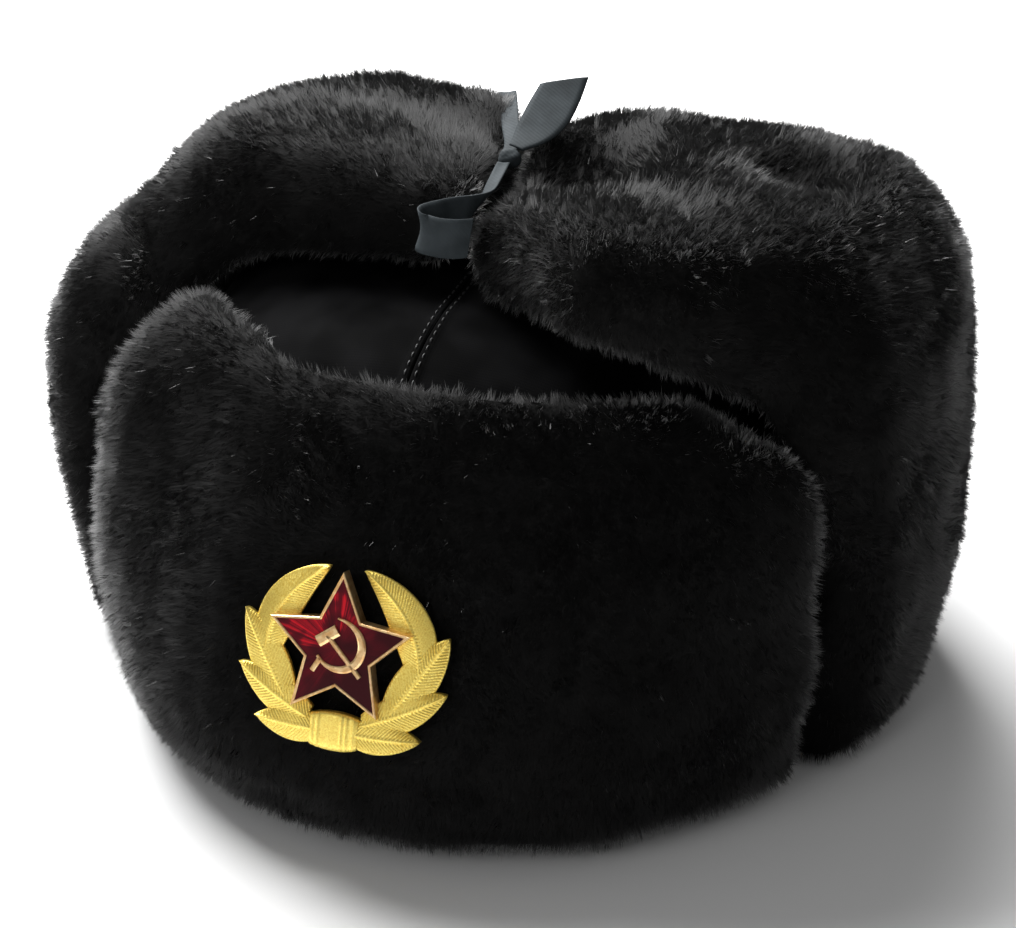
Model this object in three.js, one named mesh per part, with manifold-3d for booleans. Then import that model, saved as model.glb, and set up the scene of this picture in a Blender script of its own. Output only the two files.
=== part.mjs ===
// A winter hat of black fur on a cloth crown. Its ear flaps are turned up and tied over the crown with tapes,
// and a gilt badge with a red enamel star is pinned to the front flap.
// Millimetres, +Z up. The hat rests on its rim at z = 0. Its front faces -Y, and the wearer's left is +X.
// Angles go round the hat in degrees, from 0 at the front through +90 at the wearer's left.
import * as THREE from "three";
import Module from "manifold-3d";
import { mergeVertices } from "three/addons/utils/BufferGeometryUtils.js";

const wasm = await Module();
wasm.setup();

// Driving dimensions
const headHalfWidth = 88;
const headHalfLength = 100;
const clothWall = 3;
const planPower = 2.3; // of the superellipse that a head's oval follows
const panelGap = 0.3; // between the two halves of the crown, where the real ones are sewn
const flapGap = 0.5; // between the crown and the inside of a flap, at the rim
const innerGap = 0.9; // how much wider that is higher up
const furDepth = 27; // an ear flap's full thickness on top: cloth, wadding and pile
const edgeRound = 12; // how far from a free edge its rounding reaches
const boxMiddle = { x: 6.2, y: 0.5 }; // the shift that brings the middle of the hat's box over the origin

// The crown's outside, from the rim to the top. share is the part of the rim's oval that is left there.
const crownLevels = [
  { z: 0, share: 1.0 },
  { z: 30, share: 1.01 },
  { z: 60, share: 1.01 },
  { z: 86, share: 0.985 },
  { z: 102, share: 0.94 },
  { z: 112, share: 0.88 },
  { z: 119.5, share: 0.79 },
  { z: 124.5, share: 0.66 },
  { z: 127.5, share: 0.5 },
  { z: 129.2, share: 0.3 },
  { z: 130, share: 0.02 },
];
const crownTop = crownLevels.at(-1).z;

// A flap's rows run along the rim. angle is the place on the rim. low, belly, mid, high and tip are how far
// the fur stands out from the rim's oval, from near the floor to the free edge, and top is its height.
// In an ear flap's row, foldY is where its section meets the hat's centre line, reach is how near to it the
// free end comes, and lean is how far the roll leans to the front. shoulder, turn and top are heights.
const leftEarRows = [
  {
    angle: 62, foldY: -50, reach: 2, lean: 38, low: 26, mid: 31, high: 32,
    shoulder: 124, turn: 143, top: 157,
  },
  {
    angle: 76, foldY: -34, reach: 4, lean: 23, low: 29, mid: 35, high: 33,
    shoulder: 129, turn: 150, top: 161.5,
  },
  {
    angle: 95, foldY: -8, reach: 4.8, lean: 7, low: 30, mid: 37, high: 34,
    shoulder: 135, turn: 154, top: 161.5,
  },
  {
    angle: 110, foldY: 14, reach: 4.5, lean: 0, low: 30, mid: 37, high: 34,
    shoulder: 133, turn: 152, top: 160,
  },
  {
    angle: 126, foldY: 34, reach: 6, lean: -4, low: 26, mid: 33, high: 31,
    shoulder: 118, turn: 138, top: 150,
  },
];
const rightEarRows = [
  {
    angle: -126, foldY: 40, reach: 22, lean: -4, low: 26, mid: 33, high: 33,
    shoulder: 104, turn: 123, top: 150,
  },
  {
    angle: -110, foldY: 18, reach: 2, lean: 0, low: 28, mid: 36, high: 40,
    shoulder: 106, turn: 128, top: 161,
  },
  {
    angle: -95, foldY: -6, reach: -2.6, lean: 0, low: 34, mid: 43, high: 44,
    shoulder: 108, turn: 124, top: 164,
  },
  {
    angle: -76, foldY: -32, reach: -2, lean: 1, low: 39, mid: 50, high: 49,
    shoulder: 106, turn: 120, top: 162,
  },
  {
    angle: -63.5, foldY: -50, reach: 0, lean: 2, low: 37, mid: 50, high: 49,
    shoulder: 102, turn: 114, top: 154,
  },
];
const neckRows = [
  { angle: 128, low: 22, belly: 26, mid: 29, high: 24, tip: 8, top: 110 },
  { angle: 145, low: 22, belly: 27, mid: 30, high: 26, tip: 6, top: 112 },
  { angle: 180, low: 22, belly: 28, mid: 31, high: 27, tip: 5, top: 112 },
  { angle: 215, low: 22, belly: 27, mid: 30, high: 26, tip: 6, top: 112 },
  { angle: 232, low: 22, belly: 26, mid: 29, high: 24, tip: 8, top: 110 },
];
const frontRows = [
  { angle: -60, low: 18, belly: 23, mid: 25, high: 20, tip: 5, top: 100 },
  { angle: -48, low: 18, belly: 24, mid: 26, high: 21, tip: 4, top: 127 },
  { angle: -36, low: 18, belly: 25, mid: 25, high: 16, tip: 1, top: 125.5 },
  { angle: -20, low: 21, belly: 27, mid: 24, high: 12, tip: -4, top: 122 },
  { angle: 0, low: 23, belly: 28, mid: 23, high: 11, tip: -5, top: 121.5 },
  { angle: 22, low: 21, belly: 26, mid: 24, high: 13, tip: -2, top: 120.5 },
  { angle: 42, low: 18, belly: 23, mid: 25, high: 20, tip: 6, top: 118.5 },
  { angle: 52, low: 18, belly: 23, mid: 25, high: 22, tip: 9, top: 110 },
  { angle: 60.5, low: 19, belly: 23, mid: 25, high: 23, tip: 10, top: 86 },
];

// How a flap's outer section is drawn: the heights at which it is at its columns low, belly or mid, and high.
const footHeight = 8;
const footInset = 5; // how much narrower a flap is on the floor itself
const bellyHeight = 28;
const midHeight = 58;
const highHeight = 94;

// An ear flap's roll over the crown, as distances in from its column high.
const uprightDrop = 16; // the side is upright to this far under the shoulder
const shoulderInset = 5;
const turnInset = 21;
const slopeInset = 43;
const crestInset = 66;
const crestDrop = 0.5;
const crestMiddle = 10; // how far the highest point lies inwards of the middle of the roll
const endShare = 0.9; // of the full depth that is left at the free end
const uprightShare = 0.85; // of that depth, in the front and neck flaps

// An ear flap's lean to the front grows with the height and the distance from the hat's middle, and fades
// again near its outer side.
const leanHeights = { from: 45, to: 110 };
const leanStart = { from: 2, to: 46 };
const leanFade = { from: 66, to: 98, share: 0.66 };

// Rounding of a flap's edges
const sewnShare = 0.86; // of the thickness, kept at a side edge where it is sewn to the next flap
const thinnest = 0.03; // of the thickness, at a free corner
const seamBlend = 12; // height over which a sewn edge turns into a free one

// Places on the crown, as shares of its oval, over which the inside of an ear flap lies.
const overShares = [0.86, 0.76, 0.66, 0.56, 0.46, 0.36, 0.26, 0.16, 0.08];

// Where the outside is pressed in: the middle of each dent, how far it reaches and how deep it is.
const leftEarDents = [
  { x: 28, y: -24, z: 153, radius: 15, depth: 6 },
  { x: 82, y: -2, z: 155, radius: 13, depth: 5 },
];
const rightEarDents = [
  { x: -72, y: 34, z: 156, radius: 13, depth: 6 },
  { x: -30, y: -8, z: 160, radius: 22, depth: 2 },
];
const frontDents = [
  { x: -70, y: -103, z: 82, radius: 20, depth: 6 },
  { x: -56, y: -104, z: 98, radius: 16, depth: 4 },
];

// The badge, in its own frame: x across, y up and z out of the flap, bent back a little towards both sides.
const badgePlace = new THREE.Vector3(-2, -127, 62.5);
const badgeLean = 17; // degrees
const badgeTurn = 0.5; // degrees, as it was pinned on
const badgeBend = 160; // radius
const plateBack = -2.2;
const starRadius = 19.5;
const starNotch = 9.3;
const rimWidth = 0.8;
const tipRim = 2.2; // how many times wider the rim is at the star's tips than at its notches
const starFloor = 0.5;
const starFace = 1.5;
const figureRise = 0.35; // of the emblem over the star's rim
const figureRoot = 0.3; // of the emblem below the recess's floor
const enamelGap = 0.25; // between the enamel and the recess's floor
const enamelInset = 0.3;
const enamelDrop = 0.1; // how far the enamel stays under the star's rim
const beyond = 9; // how far a cutting solid reaches past what it cuts

const postRadius = 1;
const postLength = 9;
const seatGap = 0.3;
const seatHalfWidth = 30.5;
const seatHalfHeight = 24.5;
const seatMiddle = -2.8; // the wreath reaches further down than up
const seatTop = 20;

// A leaf lies on a plane curve from its base to its tip, and width is its greatest. Its widest place is near
// its base, and its ridge stands over its edges.
const leafSteps = 7;
const leafStart = 0.16; // how far along the curve of its width a leaf's base lies
const leafFullness = 0.75;
const leafPoint = 0.12; // its half width at the tip
const leafEdge = 0.5; // how far its edges lie under its height
const ridgeRise = { least: 0.15, more: 0.65, full: 3 }; // full is the half width at which all of it is there
const leaves = [
  { base: [-21, -6], bend: [-20, 11], tip: [-4.4, 19.8], width: 10.4, height: -0.3 },
  { base: [-15, -15], bend: [-20, -5], tip: [-27.5, 5.8], width: 11.6, height: -0.5 },
  { base: [-8, -19], bend: [-17, -16.4], tip: [-28.2, -7.5], width: 11.6, height: -0.7 },
  { base: [4, -20.6], bend: [-10, -21], tip: [-22.3, -20.2], width: 9.6, height: -0.2 },
];

const bandHalfLength = 6.6;
const bandHalfWidth = 4.3;
const bandPlace = -20.9;
const bandFace = 0.5;

// The emblem on the star: a sickle's blade, and bars for the hammer's head and handle and the sickle's grip.
// ends are the shares of a margin by which a bar grows at its two ends, across and up.
const blade = [
  { x: -0.4, y: 7.6, half: 0.15 },
  { x: 2.6, y: 6.9, half: 0.5 },
  { x: 5.3, y: 4.6, half: 0.85 },
  { x: 6.4, y: 1.2, half: 1.05 },
  { x: 5.4, y: -2.2, half: 1.1 },
  { x: 2.9, y: -4.3, half: 1.0 },
  { x: -0.2, y: -4.9, half: 0.75 },
  { x: -3.2, y: -4.0, half: 0.5 },
  { x: -5.2, y: -2.1, half: 0.35 },
];
const bars = [
  { from: [-5.3, 1.4], to: [-0.4, 4.9], half: 1.45, ends: [-1, -0.5, 1, 0.5] },
  { from: [-2.9, 3.2], to: [6.3, -6.1], half: 0.6, ends: [0, 0, 0.7, -0.7] },
  { from: [-4.4, -2.7], to: [-6.3, -6], half: 0.65, ends: [0, 0, -0.5, -0.8] },
];
const bladeSteps = 16;

// The tapes. One is tied in a bow in front of the gap between the ear flaps, and its knot lies in that gap.
// The other ends in a tail that stands up behind the knot. A station is the tape's middle, the direction
// across it, its half width and how slantwise it is cut there.
const tapeThickness = 1;
const bowStations = [
  { at: [3.4, -22.15, 155.2], across: [1, 0, 0], half: 1.8, skew: 0 },
  { at: [3.2, -33, 155], across: [1, 0, 0.2], half: 2.2, skew: 0 },
  { at: [2.4, -42, 154], across: [0.8, 0, 0.6], half: 3, skew: 0 },
  { at: [0.4, -49.5, 152.2], across: [0.3, 0.2, 1], half: 4.2, skew: 0 },
  { at: [-3.2, -53.5, 150], across: [0, 0.3, 1], half: 4.7, skew: 0 },
  { at: [-5.6, -57, 148.6], across: [0, 0.3, 1], half: 4.8, skew: 0 },
  { at: [-4.2, -60.5, 147.6], across: [0, 0.3, 1], half: 4.8, skew: 0 },
  { at: [0, -61.8, 147.3], across: [0, 0.3, 1], half: 4.8, skew: 0 },
  { at: [4.6, -61, 147.3], across: [0, 0.3, 1], half: 4.8, skew: 0 },
  { at: [7.2, -58, 147.5], across: [0, 0.3, 1], half: 4.6, skew: 0 },
  { at: [5.8, -55, 148], across: [0, 0.3, 1], half: 4.2, skew: 0 },
];
const strandStations = [
  { at: [-14, 30, 158.5], across: [1, 0.4, 0.1], half: 1.5, skew: 0 },
  { at: [-9, 17, 158.6], across: [1, 0.3, 0.3], half: 1.7, skew: 0 },
  { at: [-3.4, 2.5, 158], across: [1, 0.2, 0.5], half: 2.1, skew: 0 },
  { at: [1.3, -9, 157.2], across: [1, 0, 0.4], half: 2.4, skew: 0 },
  { at: [2.8, -14.95, 156], across: [1, 0, 0.2], half: 2.2, skew: 0 },
];
const tailStations = [
  { at: [4.6, -16.4, 158.4], across: [1, 0, 0.1], half: 2, skew: 0 },
  { at: [6, -11, 160.8], across: [1, 0, 0.1], half: 4.2, skew: 0 },
  { at: [7.6, -6, 164], across: [1, 0, 0.1], half: 5.9, skew: 0 },
  { at: [9.4, -1, 167.6], across: [1, 0, 0.1], half: 6.4, skew: 0.2 },
  { at: [11.4, 4, 171.6], across: [1, 0, 0.1], half: 6.2, skew: 0.4 },
];
const knotPlace = new THREE.Vector3(3.8, -18.4, 155.4);
const knotHalf = new THREE.Vector3(3.2, 3.4, 2.7);

// How finely the shapes are divided
const crownSteps = 36;
const crownRings = 11;
const roomSteps = 36;
const roomRings = 5;
const roundSteps = 14;
const tapeSteps = 12;
const knotSteps = 14;
const knotRings = 8;
const bowSteps = 26;
const frontCounts = { section: 15, along: 20 };
const neckCounts = { section: 14, along: 12 };
const earCounts = { section: 26, along: 9 };

// The height up to which a flap's side edge is sewn to its neighbour
const lowSeam = 20;
const highSeam = 105;

// Finishes
const fur = { color: 0x141414, roughness: 0.9, metalness: 0 };
const cloth = { color: 0x1b1c1e, roughness: 0.85, metalness: 0 };
const gilt = { color: 0xd9b64c, roughness: 0.32, metalness: 1 };
const enamel = { color: 0x5a0a12, roughness: 0.15, metalness: 0 };
const steel = { color: 0x8c8f92, roughness: 0.4, metalness: 1 };
const ribbon = { color: 0x474d52, roughness: 0.6, metalness: 0 };

// Catmull-Rom value of a table's column at a place on its key column.
function lookUp(rows, key, at, column) {
  let i = 0;
  while (i < rows.length - 2 && rows[i + 1][key] < at) i++;
  const a = rows[i];
  const b = rows[i + 1];
  const before = rows[Math.max(i - 1, 0)];
  const after = rows[Math.min(i + 2, rows.length - 1)];
  const span = b[key] - a[key];
  const t = Math.min(1, Math.max(0, (at - a[key]) / span));
  const slope = (from, to) => (to[column] - from[column]) / (to[key] - from[key]);
  const slopeA = slope(before, b);
  const slopeB = slope(a, after);
  const t2 = t * t;
  const t3 = t2 * t;
  return (
    (2 * t3 - 3 * t2 + 1) * a[column] +
    (t3 - 2 * t2 + t) * span * slopeA +
    (3 * t2 - 2 * t3) * b[column] +
    (t3 - t2) * span * slopeB
  );
}

// The crown's oval: what share of it a plan point lies at, 1 on the rim.
const crownHalfWidth = headHalfWidth + clothWall;
const crownHalfLength = headHalfLength + clothWall;
function ovalShare(x, y) {
  const across = Math.abs(x / crownHalfWidth) ** planPower;
  const along = Math.abs(y / crownHalfLength) ** planPower;
  return (across + along) ** (1 / planPower);
}

// The direction of an angle round the hat, and the rim's point there.
function heading(angle) {
  const a = THREE.MathUtils.degToRad(angle);
  return new THREE.Vector2(Math.sin(a), -Math.cos(a));
}
function rimPoint(angle) {
  const d = heading(angle);
  return d.multiplyScalar(1 / ovalShare(d.x, d.y));
}

// The distance along a plan line, from the centre line outwards, at which the oval reaches a share.
function distanceAt(centre, direction, share) {
  let near = 0;
  let far = 200;
  for (let i = 0; i < 40; i++) {
    const r = (near + far) / 2;
    const p = centre.clone().addScaledVector(direction, r);
    if (ovalShare(p.x, p.y) < share) near = r;
    else far = r;
  }
  return near;
}

// The crown's profile as a curve of share and height, and how far along it a test first holds.
const crownProfile = new THREE.SplineCurve(crownLevels.map((l) => new THREE.Vector2(l.share * 100, l.z)));
function crownUntil(test) {
  let near = 0;
  let far = 1;
  for (let i = 0; i < 30; i++) {
    const t = (near + far) / 2;
    const p = crownProfile.getPoint(t);
    if (test(p.x / 100, p.y)) far = t;
    else near = t;
  }
  return near;
}

// Points spread evenly along a plane curve, or by the given shares of its length.
function resample(points, shares) {
  const curve = new THREE.SplineCurve(points);
  curve.arcLengthDivisions = 400;
  return shares.map((s) => curve.getPointAt(s));
}

// A closed solid through rings of points, each ring with as many points as the last.
function loft(rings) {
  const size = rings[0].length;
  const positions = rings.flat();
  const index = [];
  for (let i = 0; i < rings.length - 1; i++)
    for (let k = 0; k < size; k++) {
      const a = i * size + k;
      const b = i * size + ((k + 1) % size);
      index.push(a, b, b + size, a, b + size, a + size);
    }
  const last = (rings.length - 1) * size;
  for (let low = 0, high = size; low + 1 < high; low++, high--) {
    const [a, b, c, d] = [low, low + 1, high - 1, high % size];
    if (low > 0) index.push(a, d, c, last + a, last + c, last + d);
    if (b < c) index.push(a, c, b, last + a, last + b, last + c);
  }
  const geometry = new THREE.BufferGeometry().setFromPoints(positions);
  geometry.setIndex(index);
  return outwards(geometry);
}

// The same geometry with its faces pointing out.
function outwards(geometry) {
  const p = geometry.getAttribute("position");
  const index = geometry.index.array;
  const [a, b, c] = [new THREE.Vector3(), new THREE.Vector3(), new THREE.Vector3()];
  let volume = 0;
  for (let i = 0; i < index.length; i += 3) {
    a.fromBufferAttribute(p, index[i]);
    b.fromBufferAttribute(p, index[i + 1]);
    c.fromBufferAttribute(p, index[i + 2]);
    volume += a.dot(b.cross(c));
  }
  if (volume < 0) index.reverse();
  return geometry;
}

// The geometry with its points alone, each of them once.
function welded(geometry) {
  const bare = geometry.clone();
  for (const name of Object.keys(bare.attributes)) if (name !== "position") bare.deleteAttribute(name);
  return mergeVertices(bare, 1e-4);
}

// Between geometries and solids for cutting and joining.
function toSolid(geometry) {
  const merged = welded(geometry);
  return new wasm.Manifold(
    new wasm.Mesh({
      numProp: 3,
      vertProperties: new Float32Array(merged.attributes.position.array),
      triVerts: new Uint32Array(merged.index.array),
    }),
  );
}
function toGeometry(solid) {
  const mesh = solid.getMesh();
  const geometry = new THREE.BufferGeometry();
  geometry.setAttribute("position", new THREE.BufferAttribute(mesh.vertProperties, 3));
  geometry.setIndex(new THREE.BufferAttribute(mesh.triVerts, 1));
  return geometry;
}

// A named mesh with a material of its own.
function piece(name, geometry, finish) {
  geometry.computeVertexNormals();
  const mesh = new THREE.Mesh(geometry, new THREE.MeshStandardMaterial(finish));
  mesh.name = name;
  return mesh;
}

// The crown: a cloth dome, open below, in two halves that meet at a seam from front to back.
function crownPanels() {
  const steps = crownSteps;
  const levels = crownRings;
  const oval = (level, inset) => {
    const p = crownProfile.getPointAt(level / levels);
    const share = p.x / 100;
    const upright = Math.min(1, share ** 3 * 1.1);
    return Array.from({ length: steps }, (_, i) => {
      const rim = rimPoint((360 * (i + 0.5)) / steps);
      const scale = share - (inset * upright) / rim.length();
      return new THREE.Vector3(rim.x * scale, rim.y * scale, Math.max(p.y - inset * (1 - upright), 0));
    });
  };
  const outside = Array.from({ length: levels + 1 }, (_, i) => oval(i, 0));
  const inside = Array.from({ length: levels + 1 }, (_, i) => oval(levels - i, clothWall));
  const rings = [...inside, ...outside];
  const positions = rings.flat();
  const index = [];
  for (let i = 0; i < rings.length - 1; i++)
    for (let k = 0; k < steps; k++) {
      const a = i * steps + k;
      const b = i * steps + ((k + 1) % steps);
      index.push(a, b, b + steps, a, b + steps, a + steps);
    }
  const innerApex = positions.push(new THREE.Vector3(0, 0, crownTop - clothWall)) - 1;
  const outerApex = positions.push(new THREE.Vector3(0, 0, crownTop)) - 1;
  const last = (rings.length - 1) * steps;
  for (let k = 0; k < steps; k++) {
    index.push(innerApex, (k + 1) % steps, k);
    index.push(outerApex, last + k, last + ((k + 1) % steps));
  }
  const dome = new THREE.BufferGeometry().setFromPoints(positions);
  dome.setIndex(index);
  const cut = new THREE.BoxGeometry(panelGap, crownHalfLength * 3, crownTop * 3);
  const halves = toSolid(outwards(dome)).subtract(toSolid(cut)).decompose();
  return halves.map((half) => {
    const box = half.boundingBox();
    return piece(box.max[0] > 1 ? "crown_panel_left" : "crown_panel_right", toGeometry(half), cloth);
  });
}

// Shares of a flap's length at which its section has points, closer together near both ends.
const sectionShares = (count) =>
  Array.from({ length: count + 1 }, (_, i) => {
    const t = i / count;
    return t - (0.6 * Math.sin(2 * Math.PI * t)) / (2 * Math.PI);
  });

// Shares of the way along the rim at which a flap has sections, closer together near both ends.
function alongShares(length, count) {
  const near = [0, 0.04, 0.2, 0.55, 1].map((s) => (s * edgeRound) / length);
  const far = near.map((s) => 1 - s).reverse();
  const step = (far[0] - near.at(-1)) / (count + 1);
  const between = Array.from({ length: count }, (_, i) => near.at(-1) + (i + 1) * step);
  return [...near, ...between, ...far];
}

// How full a rounded edge is at a distance from it: 0 at the edge, 1 past its rounding.
function fullness(distance, reach, power) {
  const t = Math.min(1, Math.max(0, distance / reach));
  return (1 - (1 - t) ** power) ** (1 / power);
}

// Heights from the floor up to a top one, and how far out a plane curve is at a height.
function upTo(top, steps) {
  return Array.from({ length: steps + 1 }, (_, i) => (top * i) / steps);
}
function radiusAt(points, z) {
  const curve = new THREE.SplineCurve(points);
  let near = 0;
  let far = 1;
  for (let i = 0; i < 24; i++) {
    const t = (near + far) / 2;
    if (curve.getPoint(t).y < z) near = t;
    else far = t;
  }
  return curve.getPoint(near).x;
}

// One section of a flap: pairs of an outer and an inner point from the rim to the free end.
function flapSection(rows, angle, count) {
  const at = (column) => lookUp(rows, "angle", angle, column);
  const turnedOver = rows[0].reach !== undefined;
  const rim = rimPoint(angle);
  const centre = new THREE.Vector2(0, turnedOver ? at("foldY") : 0);
  const direction = rim.clone().sub(centre).normalize();
  const rimDistance = distanceAt(centre, direction, 1);
  const top = at("top");
  const shareAtCentre = ovalShare(centre.x, centre.y);
  const out = (column, inset) => rimDistance + at(column) - inset;
  const wall = (z) => {
    const share = crownProfile.getPoint(crownUntil((_, height) => height > z)).x / 100;
    const gap = flapGap + innerGap * THREE.MathUtils.smoothstep(z, 0, 60);
    return distanceAt(centre, direction, share) + gap;
  };
  const lowest = [
    [out("low", footInset), 0],
    [out("low", 0), footHeight],
  ];
  const points = (pairs) => pairs.map(([r, z]) => new THREE.Vector2(r, z));
  let outer;
  let inner;
  if (turnedOver) {
    const reach = at("reach");
    const shoulder = at("shoulder");
    const turn = at("turn");
    const overTop = crownProfile.getPoint(crownUntil((share) => share < shareAtCentre + 0.02));
    const ridge = overTop.y + flapGap + innerGap;
    outer = points([
      ...lowest,
      [(out("low", 0) + out("mid", 0)) / 2, bellyHeight],
      [out("mid", 0), midHeight],
      [out("high", 0), shoulder - uprightDrop],
      [out("high", shoulderInset), shoulder],
      [out("high", turnInset), turn],
      [out("high", slopeInset), (turn + 2 * top) / 3],
      [out("high", crestInset), top - crestDrop],
      [(rimDistance + reach) / 2 - crestMiddle, top],
      [reach, ridge + furDepth * endShare],
    ]);
    const heights = upTo(shoulder - turnInset, 8);
    const side = heights.map((z) => [Math.max(wall(z), radiusAt(outer, z) - furDepth), z]);
    const over = overShares
      .filter((share) => share > shareAtCentre + 0.04)
      .map((share) => {
        const z = crownProfile.getPoint(crownUntil((s) => s < share)).y;
        return [distanceAt(centre, direction, share), z + flapGap + innerGap];
      });
    inner = points([...side, ...over, [reach, ridge + 0.3]]);
  } else {
    outer = points([
      ...lowest,
      [out("belly", 0), bellyHeight],
      [out("mid", 0), midHeight],
      [out("high", 0), highHeight],
      [out("tip", 0), top],
    ]);
    const depth = furDepth * uprightShare;
    const heights = upTo(top - clothWall, 12);
    const side = heights.map((z) => [Math.max(wall(z), radiusAt(outer, z) - depth), z]);
    inner = points([...side, [side.at(-1)[0] + clothWall / 2, top - crestDrop]]);
  }
  const shares = sectionShares(count);
  const lean = turnedOver ? at("lean") : 0;
  return { centre, direction, lean, outer: resample(outer, shares), inner: resample(inner, shares) };
}

// How deep the dents are at a point.
function dentDepth(dents, point) {
  return dents.reduce((sum, d) => {
    const off = (point.x - d.x) ** 2 + (point.y - d.y) ** 2 + (point.z - d.z) ** 2;
    return sum + d.depth * Math.exp(-off / d.radius ** 2);
  }, 0);
}

// The closed ring of a section, thinned towards the rim, the free end and, by edge, the flap's two sides.
function flapRing(section, edgeDistance, seamHeight, dents) {
  const { centre, direction, lean, outer, inner } = section;
  const middles = outer.map((p, k) => p.clone().add(inner[k]).multiplyScalar(0.5));
  const along = [0];
  for (let k = 1; k < middles.length; k++) along.push(along[k - 1] + middles[k].distanceTo(middles[k - 1]));
  const length = along.at(-1);
  const place = (p) => {
    const raised = THREE.MathUtils.smoothstep(p.y, leanHeights.from, leanHeights.to);
    const away = THREE.MathUtils.smoothstep(p.x, leanStart.from, leanStart.to);
    const fade = leanFade.share * THREE.MathUtils.smoothstep(p.x, leanFade.from, leanFade.to);
    const ahead = lean * raised * away * (1 - fade);
    return new THREE.Vector3(centre.x + direction.x * p.x, centre.y + direction.y * p.x - ahead, p.y);
  };
  const pairs = middles.map((m, k) => {
    const free = THREE.MathUtils.smoothstep(m.y, seamHeight - seamBlend, seamHeight + seamBlend);
    const sewn = THREE.MathUtils.lerp(sewnShare, 1, fullness(edgeDistance, edgeRound * 0.6, 2));
    const side = THREE.MathUtils.lerp(sewn, fullness(edgeDistance, edgeRound, 2), free);
    const ends = fullness(length - along[k], edgeRound, 2) * fullness(along[k], edgeRound * 0.8, 2.6);
    const full = ends * Math.max(side, thinnest);
    const pressed = dentDepth(dents, place(outer[k])) / outer[k].distanceTo(m);
    return [m.clone().lerp(outer[k], full * (1 - pressed)), m.clone().lerp(inner[k], full)];
  });
  const ring = [...pairs.map((p) => p[0]), ...pairs.map((p) => p[1]).reverse().slice(1, -1)];
  return ring.map(place);
}

function flap(name, rows, counts, seamHeights, dents) {
  const first = rows[0].angle;
  const last = rows.at(-1).angle;
  const length = (THREE.MathUtils.degToRad(last - first) * (crownHalfWidth + crownHalfLength)) / 2 + 20;
  const rings = alongShares(length, counts.along).map((share) => {
    const nearFirst = share < 0.5;
    const edge = Math.min(share, 1 - share) * length;
    const section = flapSection(rows, first + share * (last - first), counts.section);
    return flapRing(section, edge, nearFirst ? seamHeights[0] : seamHeights[1], dents);
  });
  return piece(name, loft(rings), fur);
}

function leaf({ base, bend, tip, width, height }, side) {
  const spine = new THREE.QuadraticBezierCurve(
    new THREE.Vector2(side * base[0], base[1]),
    new THREE.Vector2(side * bend[0], bend[1]),
    new THREE.Vector2(side * tip[0], tip[1]),
  );
  const rings = Array.from({ length: leafSteps + 1 }, (_, i) => {
    const t = i / leafSteps;
    const p = spine.getPoint(t);
    const along = spine.getTangent(t);
    const swell = Math.sin(Math.PI * THREE.MathUtils.lerp(leafStart, 1, t)) ** leafFullness;
    const half = Math.max((width / 2) * swell, leafPoint);
    const ridge = height + ridgeRise.least + ridgeRise.more * Math.min(1, half / ridgeRise.full);
    const at = (off, z) => new THREE.Vector3(p.x - along.y * off, p.y + along.x * off, z);
    const low = height - leafEdge;
    const right = [at(half, low), at(half * 0.5, height)];
    const left = [at(-half * 0.5, height), at(-half, low)];
    return [at(-half, plateBack), at(half, plateBack), ...right, at(0, ridge), ...left];
  });
  return loft(rings);
}

// Points on a straight-sided star whose tips are at a radius.
function starPoints(tip, notch) {
  return Array.from({ length: 10 }, (_, i) => {
    const a = (Math.PI * i) / 5;
    const r = i % 2 ? notch : tip;
    return new THREE.Vector2(r * Math.sin(a), r * Math.cos(a));
  });
}
function prism(points, from, to) {
  const shape = new THREE.Shape(points);
  const geometry = new THREE.ExtrudeGeometry(shape, { depth: to - from, bevelEnabled: false });
  return outwards(welded(geometry.translate(0, 0, from)));
}

// The emblem's outlines, each grown by a margin, as one solid between two heights.
function barOutline(from, to, half) {
  const along = new THREE.Vector2(...to).sub(new THREE.Vector2(...from)).normalize();
  const side = new THREE.Vector2(-along.y, along.x).multiplyScalar(half);
  const corners = [
    [from, -1],
    [to, -1],
    [to, 1],
    [from, 1],
  ];
  return corners.map(([p, s]) => new THREE.Vector2(...p).addScaledVector(side, s));
}
function grownBar({ from, to, half, ends }, margin) {
  const start = [from[0] + ends[0] * margin, from[1] + ends[1] * margin];
  const end = [to[0] + ends[2] * margin, to[1] + ends[3] * margin];
  return barOutline(start, end, half + margin);
}
function bladeEdge(side, margin) {
  const curve = new THREE.SplineCurve(blade.map((b) => new THREE.Vector2(b.x, b.y)));
  return Array.from({ length: bladeSteps + 1 }, (_, i) => {
    const t = i / bladeSteps;
    const p = curve.getPoint(t);
    const along = curve.getTangent(t);
    const place = t * (blade.length - 1);
    const k = Math.min(Math.floor(place), blade.length - 2);
    const half = THREE.MathUtils.lerp(blade[k].half, blade[k + 1].half, place - k) + margin;
    const past = i === 0 ? -margin : i === bladeSteps ? margin : 0;
    p.addScaledVector(along, past);
    return new THREE.Vector2(p.x - side * along.y * half, p.y + side * along.x * half);
  });
}
function emblem(margin, from, to) {
  const outlines = [
    [...bladeEdge(-1, margin), ...bladeEdge(1, margin).reverse()],
    ...bars.map((bar) => grownBar(bar, margin)),
  ];
  return outlines.map((points) => toSolid(prism(points, from, to))).reduce((a, b) => a.add(b));
}

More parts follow.
